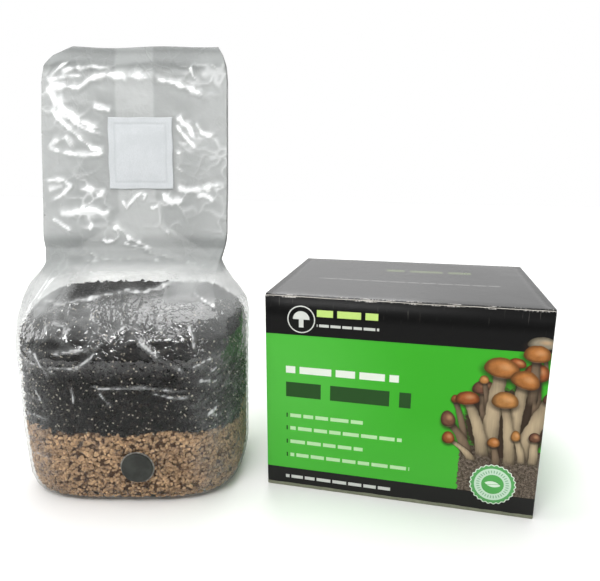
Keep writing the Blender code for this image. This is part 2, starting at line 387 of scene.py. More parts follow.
def paint_stem(given):
    """A stem that rises from its foot and leans towards its cap, lit from the left."""
    here = parts_of(given["Panel"])
    foot = parts_of(given["Foot"])
    top = parts_of(given["Cap Place"])
    rise = over(minus(here[1], foot[1]), minus(top[1], foot[1]))
    lean = plus(times(rise, 0.4), times(times(rise, rise), 0.6))
    middle = plus(foot[0], times(minus(top[0], foot[0]), lean))
    wobble = noise_node(given["Panel"], 120.0, detail=2.0)
    half = times(given["Stem Width"], plus(times(rise, -0.14), plus(0.42, times(wobble, 0.25))))
    across = over(minus(here[0], middle), half)
    width_mask = fade(size_of(across), 0.90, 1.06, 1.0, 0.0)
    foot_mask = fade(rise, -0.10, 0.06)
    mask = times(times(width_mask, foot_mask), below(rise, 1.0))
    stretch = vector_node("MULTIPLY", given["Panel"], (620.0, 70.0, 0.0))
    streaks = noise_node(stretch, 1.0, detail=3.0)
    round_shade = times(times(across, across), -0.42)
    side_shade = times(across, -0.14)
    low_shade = fade(rise, -0.05, 0.45, -0.45, 0.0)
    high_shade = fade(rise, 0.55, 0.92, 0.0, -0.35)
    light = plus(plus(round_shade, side_shade), plus(low_shade, high_shade))
    light = plus(light, plus(0.82, times(streaks, 0.42)))
    light = most(light, 0.10)
    tone = colour_mix(1.0, given["Stem Tone"], joined(light, light, light), "MULTIPLY")
    shadow = fade(size_of(across), 0.95, 1.7, 0.60, 0.0)
    shadow = times(shadow, fade(rise, -0.2, 0.2))
    shadow = times(shadow, below(rise, 1.0))
    shaded = colour_mix(shadow, given["Under"], (0.03, 0.018, 0.010))
    return colour_mix(mask, shaded, tone)


def paint_cap(given, under):
    """A dome flattened underneath, with pale gills along its lower rim and one soft highlight."""
    away = vector_node("SUBTRACT", given["Panel"], given["Cap Place"])
    turned = add_node(away.id_data, "ShaderNodeVectorRotate", rotation_type="Z_AXIS")
    feed(turned.inputs["Vector"], away)
    feed(turned.inputs["Angle"], given["Turn"])
    unit = parts_of(vector_node("DIVIDE", turned.outputs[0], given["Cap Half"]))
    ripple = times(minus(noise_node(given["Panel"], 150.0), 0.5), 0.22)
    low = times(least(unit[1], 0.0), 0.55)
    tall = plus(unit[1], plus(low, ripple))
    radius = vector_node("LENGTH", joined(unit[0], tall))
    mask = fade(radius, 0.95, 1.03, 1.0, 0.0)
    blotch = noise_node(given["Panel"], 210.0, detail=5.0, roughness=0.65)
    lit = plus(times(unit[1], 0.30), times(unit[0], 0.16))
    lit = plus(lit, plus(0.40, times(blotch, 0.72)))
    rim = fade(radius, 0.50, 1.02, 1.0, 0.28)
    lit = times(lit, rim)
    tone = colour_mix(1.0, given["Tone"], joined(lit, lit, lit), "MULTIPLY")
    shine = vector_node("LENGTH", joined(minus(unit[0], 0.22), times(minus(unit[1], 0.30), 1.4)))
    tone = colour_mix(fade(shine, 0.0, 0.62, 0.42, 0.0), tone, (0.72, 0.42, 0.20))
    gills = times(fade(tall, -1.02, -0.80, 1.0, 0.0), fade(radius, 0.80, 0.93))
    tone = colour_mix(times(gills, 0.45), tone, (0.30, 0.20, 0.13))
    under_cap = vector_node("LENGTH", joined(unit[0], plus(tall, 0.34)))
    shadow = fade(under_cap, 0.80, 1.45, 0.75, 0.0)
    shaded = colour_mix(shadow, under, (0.02, 0.012, 0.008))
    return colour_mix(mask, shaded, tone)


given["Panel"] = printed_after(given["Panel"], given["Under"])
feed(mushroom_out["Color"], paint_cap(given, paint_stem(given)))
print("printed mushroom group:", len(PRINT_MUSHROOM.nodes), "nodes")

# %% [markdown]
# ## Plain bars for words
#
# A retail carton carries words. This part carries none: where a line of words would be, a row of
# plain bars keeps the layout. One group makes a row, from its left end, length, height and seed.

# %% Word bar group
WORD_BARS, given, bars_out = new_group(
    "word bars",
    [
        ("Panel", "Vector", None), ("Under", "Color", None), ("Start", "Vector", None),
        ("Length", "Float", 0.05), ("Height", "Float", 0.005), ("Seed", "Float", 0.0),
        ("Ink", "Color", None)
    ],
    [("Color", "Color")],
)
canvas = printed_after(given["Panel"], given["Under"])
row = parts_of(vector_node("SUBTRACT", canvas, given["Start"]))
inside = times(above(row[0], 0.0), below(row[0], given["Length"]))
half_height = times(given["Height"], 0.5)
inside = times(inside, below(size_of(row[1]), half_height))
words = add_node(WORD_BARS, "ShaderNodeTexVoronoi", voronoi_dimensions="1D", feature="DISTANCE_TO_EDGE")
words.inputs["Scale"].default_value = 1.0
words.inputs["Randomness"].default_value = 0.55
stride = times(given["Height"], 4.2)
feed(words.inputs["W"], plus(over(row[0], stride), given["Seed"]))
gap = above(words.outputs["Distance"], 0.07)
feed(bars_out["Color"], colour_mix(times(inside, gap), given["Under"], given["Ink"]))
print("word bar group:", len(WORD_BARS.nodes), "nodes")

# %% [markdown]
# ## The carton's front print
#
# A black band with a plain emblem, a green field, a dark foot band, the mushroom cluster over a
# block of substrate, and a scalloped seal with a leaf. Everything is drawn in a fixed order, as a
# printer would lay inks, from the back to the front. Numbers are millimetres on the panel, from
# its left edge and its foot.

# %% Print layout
MM = 0.001
BLACK_INK = (0.0045, 0.0045, 0.0045)
FOOT_INK = (0.016, 0.016, 0.015)
GREEN_TOP, GREEN_LOW = (0.045, 0.415, 0.021), (0.085, 0.49, 0.055)
BAND_FOOT, BAND_TOP = 18.0, 137.5
STEM_PALE, STEM_DUSK = (0.46, 0.36, 0.23), (0.20, 0.14, 0.09)
RUST, AMBER = (0.42, 0.12, 0.035), (0.55, 0.21, 0.055)
TAN, MAUVE = (0.60, 0.27, 0.08), (0.23, 0.10, 0.06)
# cap x, z, half width, half height, turn, tone, foot x, z, stem width, stem tone
CLUSTER = (
    (209, 143.5, 10.5, 5.0, 0, (0.36, 0.31, 0.22), 214, 118, 3, STEM_DUSK),
    (207, 120.5, 9.0, 7.5, -10, RUST, 211, 66, 7, STEM_DUSK),
    (193, 127.5, 6.5, 4.0, -10, RUST, 196, 100, 3, STEM_DUSK),
    (206, 135.0, 9.6, 6.8, -4, AMBER, 206, 98, 7, STEM_DUSK),
    (219, 101.0, 6.0, 5.0, 0, MAUVE, 203, 52, 13, STEM_PALE),
    (171, 106.0, 8.5, 5.5, 14, MAUVE, 176, 60, 9, STEM_DUSK),
    (171, 112.5, 3.6, 3.6, 10, TAN, 175, 88, 4, STEM_DUSK),
    (182.5, 122.0, 12.8, 8.4, -10, AMBER, 178, 56, 12, STEM_PALE),
    (199.5, 114.0, 10.6, 7.3, -17, AMBER, 194, 60, 10, STEM_PALE),
    (151, 95.0, 3.0, 3.4, 0, RUST, 160, 60, 5, STEM_DUSK),
    (147, 77.0, 5.6, 7.0, 12, MAUVE, 163, 50, 8, STEM_DUSK),
    (160, 96.0, 9.0, 5.8, 6, RUST, 174, 52, 9.5, STEM_PALE),
    (148, 61.5, 4.8, 5.4, 10, RUST, 166, 46, 7, STEM_PALE),
    (187, 96.5, 9.8, 7.0, -2, TAN, 194, 47, 8, STEM_PALE),
    (181.5, 61.5, 4.7, 4.4, -8, AMBER, 185, 42, 5.5, STEM_DUSK),
    (197, 68.5, 3.5, 4.7, 0, TAN, 203, 48, 5.5, STEM_PALE),
    (210.5, 69.0, 4.3, 4.2, 0, MAUVE, 211, 48, 6.5, STEM_PALE),
)
DOME = 1.2  # caps drawn this much taller than listed
# start x, z, length, height, ink, seed
ROWS = (
    (42.4, 156.6, 48.0, 5.6, (0.52, 0.72, 0.20), 3.1),
    (42.4, 146.6, 49.0, 2.2, (0.60, 0.62, 0.58), 7.7),
    (17.0, 107.6, 91.0, 6.0, (0.80, 0.86, 0.76), 1.4),
    (17.0, 90.2, 101.0, 13.0, (0.020, 0.075, 0.016), 5.3),
    (20.5, 67.0, 60.5, 3.2, (0.50, 0.78, 0.42), 2.2),
    (20.5, 55.4, 92.0, 3.2, (0.50, 0.78, 0.42), 8.4),
    (20.5, 43.0, 61.0, 3.2, (0.50, 0.78, 0.42), 4.9),
    (20.5, 30.6, 99.0, 3.2, (0.50, 0.78, 0.42), 6.6),
    (16.4, 9.8, 90.0, 2.9, (0.66, 0.67, 0.64), 9.5),
)
print(len(CLUSTER), "mushrooms,", len(ROWS), "rows of bars")


# %% Print nodes
def disc_distance(panel, x, z):
    return vector_node("LENGTH", vector_node("SUBTRACT", panel, (x * MM, z * MM, 0.0)))


def between(value, low, high):
    return times(above(value, low), below(value, high))


def front_print(panel):
    """The colour of the carton's front at a place on its panel."""
    across, up = parts_of(panel)[0:2]
    glow = fade(disc_distance(panel, 10, 95), 0.01, 0.12, 1.0, 0.0)
    green = colour_mix(glow, GREEN_TOP, GREEN_LOW)
    green = colour_mix(fade(up, 0.02, 0.09, 0.55, 0.0), green, GREEN_LOW)
    ink = colour_mix(above(up, BAND_TOP * MM), green, BLACK_INK)
    ink = colour_mix(below(up, BAND_FOOT * MM), ink, FOOT_INK)
    # the block of substrate that the cluster grows from
    ragged = times(noise_node(panel, 260.0, detail=4.0, roughness=0.7), 0.006)
    block = above(plus(across, ragged), 0.1600)
    block = times(block, between(up, BAND_FOOT * MM, 0.058))
    crumbs = noise_node(panel, 420.0, detail=6.0, roughness=0.75)
    soil = colour_mix(fade(crumbs, 0.40, 0.62), (0.055, 0.042, 0.030), (0.19, 0.15, 0.115))
    soil = colour_mix(fade(noise_node(panel, 1100.0, detail=2.0), 0.66, 0.72), soil, (0.55, 0.48, 0.38))
    ink = colour_mix(block, ink, soil)
    shade = vector_node(
        "LENGTH",
        vector_node(
            "MULTIPLY", vector_node("SUBTRACT", panel, (0.189, 0.078, 0.0)),
            (1.0 / 0.037, 1.0 / 0.036, 0.0)
        )
    )
    core = fade(plus(shade, times(crumbs, 0.35)), 0.92, 1.10, 1.0, 0.0)
    ink = colour_mix(core, ink, (0.045, 0.028, 0.018))
    for x, z, half_x, half_z, turn, tone, foot_x, foot_z, width, stem in CLUSTER:
        ink = place_group(
            PRINT_MUSHROOM, Panel=panel, Under=ink, Cap_Place=(x * MM, z * MM, 0.0),
            Cap_Half=(half_x * MM, half_z * DOME * MM, 1.0), Turn=math.radians(-turn), Tone=tone,
            Foot=(foot_x * MM, foot_z * MM, 0.0), Stem_Width=width * MM, Stem_Tone=stem,
        )["Color"]
    for x, z, length, height, tone, seed in ROWS:
        ink = place_group(
            WORD_BARS, Panel=panel, Under=ink, Start=(x * MM, z * MM, 0.0), Length=length * MM,
            Height=height * MM, Seed=seed, Ink=tone
        )["Color"]
    for z in (67.0, 55.4, 43.0, 30.6):
        tick = times(between(across, 0.0172, 0.0183), between(up, (z - 1.9) * MM, (z + 1.9) * MM))
        ink = colour_mix(tick, ink, (0.012, 0.055, 0.010))
    ink = paint_emblem(printed_after(panel, ink), ink)
    return paint_seal(printed_after(panel, ink), ink)


def paint_emblem(panel, ink):
    """A plain mark: a ring round a small dome on a stem."""
    away = parts_of(vector_node("SUBTRACT", panel, (0.0298, 0.1508, 0.0)))
    radius = disc_distance(panel, 29.8, 150.8)
    ring = between(radius, 0.0104, 0.0113)
    dome = times(below(radius, 0.0068), above(away[1], 0.0))
    post = times(below(size_of(away[0]), 0.0019), between(away[1], -0.0066, 0.001))
    mark = most(ring, most(dome, post))
    return colour_mix(mark, ink, (0.66, 0.68, 0.64))


# how far out each ring of the seal reaches, and its tone; the first two have the scalloped edge
SEAL_RINGS = (
    (0.0171, (0.74, 0.84, 0.72)), (0.0163, (0.11, 0.40, 0.12)),
    (0.0138, (0.60, 0.78, 0.62)), (0.0084, (0.10, 0.42, 0.10)),
)


def paint_seal(panel, ink):
    """A scalloped seal: pale edge, green ring, pale ring with ticks, green middle with a leaf."""
    away = vector_node("SUBTRACT", panel, (0.1838, 0.0262, 0.0))
    radius = vector_node("LENGTH", away)
    flat = parts_of(away)
    angle = angle_of(flat[1], flat[0])
    wave = times(cosine(times(angle, 26.0)), 0.00045)
    waved = minus(radius, wave)
    for edge, tone in SEAL_RINGS:
        reach = waved if edge > 0.015 else radius
        ink = colour_mix(below(reach, edge), ink, tone)
    beat = sine(times(angle, 34.0))
    ticks = times(between(radius, 0.0098, 0.0122), above(beat, 0.25))
    ink = colour_mix(times(ticks, 0.75), ink, (0.16, 0.40, 0.20))
    leaf = times(
        below(disc_distance(panel, 183.0, 20.4), 0.0085),
        below(disc_distance(panel, 184.6, 32.4), 0.0085)
    )
    vein = below(size_of(minus(flat[1], times(flat[0], 0.13))), 0.00028)
    leaf = minus(leaf, times(leaf, times(vein, 0.6)))
    return colour_mix(leaf, ink, (0.72, 0.86, 0.70))


print("print nodes ready")

# %% [markdown]
# ## Board materials
#
# The walls' material asks which way a face looks to choose its print: the front has the picture,
# the other sides have the three plain bands. Wear sits along the panel's edges. The inside and
# the cut edges are grey-white fibre, with a fine mottle.

# %% Board materials
walls_print = new_material("printed_board_walls")
tree = walls_print.node_tree
place = object_place(tree)
panel_place = vector_node("SUBTRACT", place, (CARTON_LOW.x, CARTON_LOW.y, 0.0))
side = parts_of(panel_place)
panel = joined(side[0], side[2], 0.0)
front_ink = front_print(panel)
bands = colour_mix(above(side[2], BAND_TOP * MM), GREEN_TOP, BLACK_INK)
bands = colour_mix(below(side[2], BAND_FOOT * MM), bands, FOOT_INK)
on_front = below(side[1], 0.0022)
ink = colour_mix(on_front, bands, front_ink)
to_left = least(side[0], minus(CARTON_SIZE.x, side[0]))
to_front = least(side[1], minus(CARTON_SIZE.y, side[1]))
corner = most(to_left, to_front)
top_edge = minus(CARTON_SIZE.z + 0.0004, side[2])
edge_distance = least(corner, least(times(top_edge, 0.55), plus(side[2], 0.0004)))
wear = place_group(WEAR, Place=place, Edge_Distance=edge_distance, Reach=0.0002)
scratch_place = vector_node("MULTIPLY", place, (900.0, 900.0, 60.0))
scratches = times(
    fade(noise_node(scratch_place, 1.0, detail=2.0), 0.66, 0.74), fade(top_edge, 0.0, 0.022, 1.0, 0.0)
)
ink = colour_mix(times(scratches, 0.16), ink, (0.30, 0.28, 0.25))
ink = colour_mix(wear["Worn"], ink, (0.55, 0.53, 0.50))
# a ragged grey-green strip along the foot of the walls, a few millimetres tall
foot_strip = below(side[2], plus(0.0024, times(noise_node(place, 60.0), 0.0018)))
ink = colour_mix(foot_strip, ink, colour_mix(wear["Grain"], (0.17, 0.18, 0.12), (0.30, 0.32, 0.23)))
gloss = plus(0.30, times(wear["Grain"], 0.16))
gloss = plus(gloss, times(wear["Worn"], 0.35))
undulate = noise_node(place, 14.0, detail=2.0)
normal = bump_node(plus(times(undulate, 6.0), wear["Grain"]), 0.25, 0.0002)
finish_material(
    principled(tree, Base_Color=ink, Roughness=gloss, Specular_IOR_Level=0.12, Normal=normal)
)

lid_print = new_material("black_board_lid")
tree = lid_print.node_tree
place = object_place(tree)
lid_place = parts_of(vector_node("SUBTRACT", place, (CARTON_LOW.x, CARTON_LOW.y, 0.0)))
to_end = least(lid_place[0], minus(CARTON_SIZE.x, lid_place[0]))
to_fold = minus(lid_place[1], 0.0026)
edge_distance = least(plus(to_end, 0.0003), times(size_of(to_fold), 0.8))
wear = place_group(WEAR, Place=place, Edge_Distance=edge_distance, Reach=0.0002)
ink = BLACK_INK
# rows of bars, read from the carton's back, so each is mirrored: its start is its right end
mirror = joined(times(lid_place[0], -1.0), lid_place[1], 0.0)
# rows of faint bars for the lid's words: place, length and height in mm, tone, seed
LID_ROWS = (
    (166, 118, 78, 9.0, (0.085, 0.11, 0.045), 3.1),
    (186, 69.5, 155, 3.4, (0.12, 0.12, 0.115), 6.2),
)
for x, y, length, height, tone, seed in LID_ROWS:
    ink = place_group(
        WORD_BARS, Panel=mirror, Under=ink, Start=(-x * MM, y * MM, 0.0), Length=length * MM,
        Height=height * MM, Seed=seed, Ink=tone
    )["Color"]
ink = colour_mix(wear["Worn"], ink, (0.48, 0.46, 0.43))
mottle = noise_node(place, 22.0, detail=4.0, roughness=0.6)
gloss = plus(plus(0.17, times(mottle, 0.14)), times(wear["Worn"], 0.4))
normal = bump_node(plus(times(mottle, 5.0), wear["Grain"]), 0.22, 0.0002)
finish_material(principled(tree, Base_Color=ink, Roughness=gloss, Normal=normal))

plain_board = new_material("plain_board_inside")
tree = plain_board.node_tree
place = object_place(tree)
fibre = noise_node(vector_node("MULTIPLY", place, (1.0, 1.0, 2.4)), 480.0, detail=6.0, roughness=0.7)
mottle = noise_node(place, 35.0, detail=3.0)
tone = colour_mix(fibre, (0.44, 0.41, 0.36), (0.66, 0.63, 0.57))
tone = colour_mix(fade(mottle, 0.35, 0.7), tone, (0.55, 0.52, 0.46))
finish_material(
    principled(
        tree, Base_Color=tone, Roughness=fade(fibre, 0.2, 0.8, 0.78, 0.92),
        Normal=bump_node(fibre, 0.3, 0.0002)
    )
)
print("board materials:", walls_print.name, lid_print.name, plain_board.name)

# %% [markdown]
# ## Carton walls
#
# The walls are one folded box with an open top. A cube is the start: its upright and bottom edges
# are rounded as a crease rounds them, the top is taken off, and planes cut the panels into strips,
# so that they can bow a little, as board does. Solidify then gives the thickness inwards.

# %% Shape helpers
def piece_from(shape, name, materials, body, smooth=True, nodes=()):
    """Make the finished object: mesh at its place, materials, body, replaced nodes."""
    mesh = bpy.data.meshes.new(name)
    shape.to_mesh(mesh)
    shape.free()
    for material in materials:
        mesh.materials.append(material)
    for polygon in mesh.polygons:
        polygon.use_smooth = smooth
    piece = bpy.data.objects.new(name, mesh)
    bpy.context.scene.collection.objects.link(piece)
    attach(piece, body)
    if nodes:
        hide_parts(*nodes)
    return piece


def board_thickness(piece):
    """Board grows inwards from its printed face: material 1 is the inside and the cut edges."""
    wall = piece.modifiers.new("board", "SOLIDIFY")
    wall.thickness = BOARD
    wall.offset = -1.0
    wall.material_offset = 1
    wall.material_offset_rim = 1
    wall.use_even_offset = True


def cut_strips(shape, axis, low, high, count):
    """Cut the whole shape with evenly spaced planes across one axis."""
    normal = Vector((0.0, 0.0, 0.0))
    normal[axis] = 1.0
    for step in range(1, count):
        place = Vector((0.0, 0.0, 0.0))
        place[axis] = low + (high - low) * step / count
        everything = list(shape.verts) + list(shape.edges) + list(shape.faces)
        bmesh.ops.bisect_plane(shape, geom=everything, plane_co=place, plane_no=normal)


def bow(share):
    """Zero at both ends of a panel, one in the middle."""
    return math.sin(math.pi * min(max(share, 0.0), 1.0))


print("shape helpers ready")

# %% Walls
WALL_TOP = CARTON_SIZE.z + 0.0009
CREASE_ROUND = 0.0011
shape = bmesh.new()
bmesh.ops.create_cube(shape, size=1.0)
bmesh.ops.scale(shape, vec=(CARTON_SIZE.x, CARTON_SIZE.y, WALL_TOP), verts=shape.verts)
bmesh.ops.translate(shape, vec=(CARTON_MIDDLE.x, CARTON_MIDDLE.y, WALL_TOP / 2), verts=shape.verts)
bmesh.ops.delete(shape, geom=[f for f in shape.faces if f.normal.z > 0.5], context="FACES_ONLY")
rounded = [e for e in shape.edges if not e.is_boundary]
bmesh.ops.bevel(
    shape, geom=rounded, offset=CREASE_ROUND, segments=3, profile=0.5, affect="EDGES", material=-1
)
cut_strips(shape, 0, CARTON_LOW.x, WALLS_HIGH.x, 12)
cut_strips(shape, 1, CARTON_LOW.y, WALLS_HIGH.y, 9)
cut_strips(shape, 2, 0.0, WALL_TOP, 9)
SIDE_NOTCH = WALL_TOP - CARTON_SIZE.z
for vert in shape.verts:
    along_x = (vert.co.x - CARTON_LOW.x) / CARTON_SIZE.x
    along_y = (vert.co.y - CARTON_LOW.y) / CARTON_SIZE.y
    up = vert.co.z / WALL_TOP
    if vert.co.y < CARTON_LOW.y + 0.0004:
        vert.co.y -= 0.0006 * bow(along_x) * (0.35 + 0.65 * up) * min(1.0, up * 4)
    elif vert.co.y > WALLS_HIGH.y - 0.0004:
        vert.co.y += 0.0004 * bow(along_x) * bow(up)
    elif vert.co.x < CARTON_LOW.x + 0.0004 or vert.co.x > WALLS_HIGH.x - 0.0004:
        outward = -1.0 if along_x < 0.5 else 1.0
        vert.co.x += outward * 0.0006 * bow(along_y) * bow(up)
    # the side and back walls end under the lid, and only the front wall reaches past it
    if vert.co.z > WALL_TOP - 0.0001:
        if vert.co.y > CARTON_LOW.y + 0.0004:
            vert.co.z -= SIDE_NOTCH
        else:
            vert.co.z += 0.0002 * math.sin(along_x * 19.0) * bow(along_x)
walls = piece_from(
    shape, "carton_walls", [walls_print, plain_board], "kit", nodes=["carton_body"]
)
board_thickness(walls)
print("walls:", len(walls.data.vertices), "vertices")

# %% [markdown]
# ## Lid with its tuck flap
#
# The lid is one strip of board: a small round at the rear crease, the flat panel, the front fold
# and the tuck flap that slides behind the front wall. A grid is the flat blank. Its flap rows are
# narrowed to round the corners, and then each row is carried to its place on the folded profile.

# %% Lid
TOP = LID_HIGH.z
FOLD = 0.0017
REAR = WALLS_HIGH.y
FRONT = CARTON_LOW.y + BOARD + SLIT
TUCK = TOP - LID_LOW.z - FOLD
TUCK_CORNER, TUCK_CUT, TUCK_LEAN = 0.011, 0.004, 0.07
QUARTER = math.pi / 2 * FOLD
FLAT_RUN = REAR - FRONT - 2 * FOLD


def lid_profile(run):
    """Where a row of the blank lies once folded: (y, z) for a distance along the board."""
    if run < QUARTER:
        turn = run / FOLD
        return REAR - FOLD + FOLD * math.cos(turn), TOP - FOLD + FOLD * math.sin(turn)
    run -= QUARTER
    if run < FLAT_RUN:
        return REAR - FOLD - run, TOP
    run -= FLAT_RUN
    if run < QUARTER:
        turn = run / FOLD
        return FRONT + FOLD - FOLD * math.sin(turn), TOP - FOLD + FOLD * math.cos(turn)
    run -= QUARTER
    return FRONT + run * TUCK_LEAN, TOP - FOLD - run


stops = [QUARTER * i / 4 for i in range(5)]
stops += [QUARTER + FLAT_RUN * i / 14 for i in range(1, 15)]
stops += [QUARTER + FLAT_RUN + QUARTER * i / 5 for i in range(1, 6)]
tuck_start = stops[-1]
stops += [tuck_start + 0.0006] + [tuck_start + TUCK * i / 12 for i in range(1, 13)]
shape = bmesh.new()
bmesh.ops.create_grid(shape, x_segments=24, y_segments=len(stops) - 1, size=0.5)
half_width = CARTON_SIZE.x / 2
for vert in shape.verts:
    row = round((vert.co.y + 0.5) * (len(stops) - 1))
    run = stops[row]
    reach = half_width
    if run > tuck_start + 1e-6:
        left = tuck_start + TUCK - run
        reach -= TUCK_CUT
        if left < TUCK_CORNER:
            reach -= TUCK_CORNER - math.sqrt(max(0.0, TUCK_CORNER ** 2 - (TUCK_CORNER - left) ** 2))
    share = vert.co.x * 2
    y, z = lid_profile(run)
    sag = 0.0006 * bow((REAR - y) / (REAR - FRONT)) * bow((share + 1) / 2) if run < tuck_start else 0.0
    vert.co = Vector((CARTON_MIDDLE.x + share * reach, y, z - sag))
bmesh.ops.recalc_face_normals(shape, faces=shape.faces)
top_faces = [f for f in shape.faces if abs(f.calc_center_median().z - TOP) < 0.001]
if top_faces[0].normal.z < 0:
    bmesh.ops.reverse_faces(shape, faces=shape.faces)
lid = piece_from(
    shape, "carton_lid_board", [lid_print, plain_board], "lid", nodes=["carton_lid"]
)
board_thickness(lid)
print("lid: tuck", round(TUCK * 1000, 1), "mm deep")

# %% [markdown]
# ## Dust flaps
#
# Two flaps fold in from the side walls under the lid. Each is a tapered sheet of board with round
# corners, made like the lid: a grid, narrowed row by row, and given its thickness.

# %% Flaps
def dust_flap(name, node, body, hinge_side):
    low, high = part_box(node)
    shape = bmesh.new()
    bmesh.ops.create_grid(shape, x_segments=16, y_segments=14, size=0.5)
    reach = high.x - low.x
    middle, half = (low.y + high.y) / 2, (high.y - low.y) / 2
    corner, taper = 0.009, 0.006
    for vert in shape.verts:
        run = (vert.co.x + 0.5) * reach
        narrow = taper * run / reach
        left = reach - run
        if left < corner:
            narrow += corner - math.sqrt(max(0.0, corner ** 2 - (corner - left) ** 2))
        share = vert.co.y * 2
        x = low.x + run if hinge_side < 0 else high.x - run
        droop = 0.0016 * (run / reach) ** 2 + 0.0005 * bow((share + 1) / 2) * run / reach
        vert.co = Vector((x, middle + share * (half - narrow), high.z - droop))
    bmesh.ops.recalc_face_normals(shape, faces=shape.faces)
    if list(shape.faces)[0].normal.z < 0:
        bmesh.ops.reverse_faces(shape, faces=shape.faces)
    flap = piece_from(shape, name, [plain_board, plain_board], body, nodes=[node])
    board_thickness(flap)


dust_flap("dust_flap_left_board", "dust_flap_left", "left_flap", -1)
dust_flap("dust_flap_right_board", "dust_flap_right", "right_flap", 1)
print("dust flaps made")

# %% [markdown]
# ## Inside the carton: the glue flap and the closed bottom
#
# An open carton shows how it is made. A narrow glue flap holds the rear corner, and the bottom is
# two wide flaps that meet, so a seam runs across the floor.

# %% Glue flap and bottom flaps
INSIDE = BOARD + SLIT
shape = bmesh.new()
glue = bmesh.ops.create_cube(shape, size=1.0)["verts"]
bmesh.ops.scale(shape, vec=(0.014, 0.0005, CARTON_SIZE.z - 0.012), verts=glue)
bmesh.ops.translate(
    shape,
    vec=(WALLS_HIGH.x - INSIDE - 0.0085, WALLS_HIGH.y - INSIDE - 0.0007, CARTON_SIZE.z / 2 - 0.001),
    verts=glue
)
for vert in glue:
    if vert.co.x < WALLS_HIGH.x - 0.012:
        vert.co.z += -0.007 if vert.co.z > 0.08 else 0.007
half_depth = (CARTON_SIZE.y - 2 * INSIDE) / 2 - 0.0006
for side_of in (-1, 1):
    flap = bmesh.ops.create_cube(shape, size=1.0)["verts"]
    bmesh.ops.scale(
        shape, vec=(CARTON_SIZE.x - 2 * INSIDE - 0.001, half_depth - 0.0006, 0.0010), verts=flap
    )
    bmesh.ops.translate(
        shape,
        vec=(CARTON_MIDDLE.x, CARTON_MIDDLE.y + side_of * (half_depth / 2 + 0.0003), INSIDE + 0.0005),
        verts=flap
    )
bmesh.ops.bevel(
    shape, geom=list(shape.edges), offset=0.0002, segments=1, profile=0.5, affect="EDGES", material=-1
)
inner = piece_from(shape, "carton_inner_flaps", [plain_board], "kit", smooth=False)
print("inner flaps:", len(inner.data.polygons), "faces")

# %% [markdown]
# ## The bag's shape, read from the working solid
#
# The bag's solid was made from level sections. Reading its lowest and highest points on each
# level, in the bag's own turned axes, gives the room that the film may fill: left, right, front
# and back. Everything in the bag is placed from this one table.

# %% Sections of the bag
def level_table(node):
    """Rows of (height, left, right, front, back) in the bag's own axes, one for each level."""
    points = np.array([list(TO_BAG @ vert.co) for vert in frame["nodes"][node].data.vertices])
    levels = {}
    for u, v, z in points:
        levels.setdefault(round(z, 4), []).append((u, v))
    rows = []
    for z, flat in sorted(levels.items()):
        flat = np.array(flat)
        rows.append((z, flat[:, 0].min(), flat[:, 0].max(), flat[:, 1].min(), flat[:, 1].max()))
    return np.array(rows)


def outer_levels(rows, near=0.0009):
    """Levels closer together than `near` are the two faces of one wall: keep the wider one."""
    groups = [[rows[0]]]
    for row in rows[1:]:
        if row[0] - groups[-1][0][0] < near:
            groups[-1].append(row)
        else:
            groups.append([row])
    return np.array([max(group, key=lambda row: row[2] - row[1]) for group in groups])


FILM_TABLE = outer_levels(level_table("bag_film"))
BAG_TOP = FILM_TABLE[-1, 0]


def extent(z, column):
    return np.interp(z, FILM_TABLE[:, 0], FILM_TABLE[:, column])


print(
    len(FILM_TABLE), "levels up to", round(BAG_TOP, 3), [round(float(z), 4) for z in FILM_TABLE[:, 0]]
)

# %% [markdown]
# ## Film: one sheet wrapped into a gusseted pouch
#
# A grow bag is a tube of film with pleated sides. Low down it is pushed out square by what it
# holds, and higher up it lies flat: the side pleats fold inwards, and the mouth is sealed. So the
# film is a flat grid carried round the bag. Its first rows are the base, from the middle outwards;
# its last row closes the seal. A rounded square and the flat pleated outline are blended by height.

# %% Film grid
AROUND, BASE_ROWS, SIDE_ROWS = 390, 8, 240
FRONT_SHARE, SIDE_SHARE = 0.29, 0.21
LEFT_PLEAT, RIGHT_PLEAT = -0.0168, 0.0150
FLAT_FROM, FLAT_TO = 0.148, 0.212
ROUNDNESS = 3.4  # exponent of the rounded-square sections
LEAST_DEPTH = 0.0085  # of the flat pouch, with its pleats inside


def smooth(value, low, high):
    share = np.clip((value - low) / (high - low), 0.0, 1.0)
    return share * share * (3 - 2 * share)


def square_outline(share):
    """Unit rounded square, walked once: front, right, back, left, starting at the front left."""
    bounds_of = np.array([0, FRONT_SHARE, FRONT_SHARE + SIDE_SHARE, 2 * FRONT_SHARE + SIDE_SHARE, 1.0])
    corners = np.array([[-1, -1], [1, -1], [1, 1], [-1, 1], [-1, -1]], float)
    u = np.interp(share, bounds_of, corners[:, 0])
    v = np.interp(share, bounds_of, corners[:, 1])
    size = (np.abs(u) ** ROUNDNESS + np.abs(v) ** ROUNDNESS) ** (1 / ROUNDNESS)
    return u / size, v / size


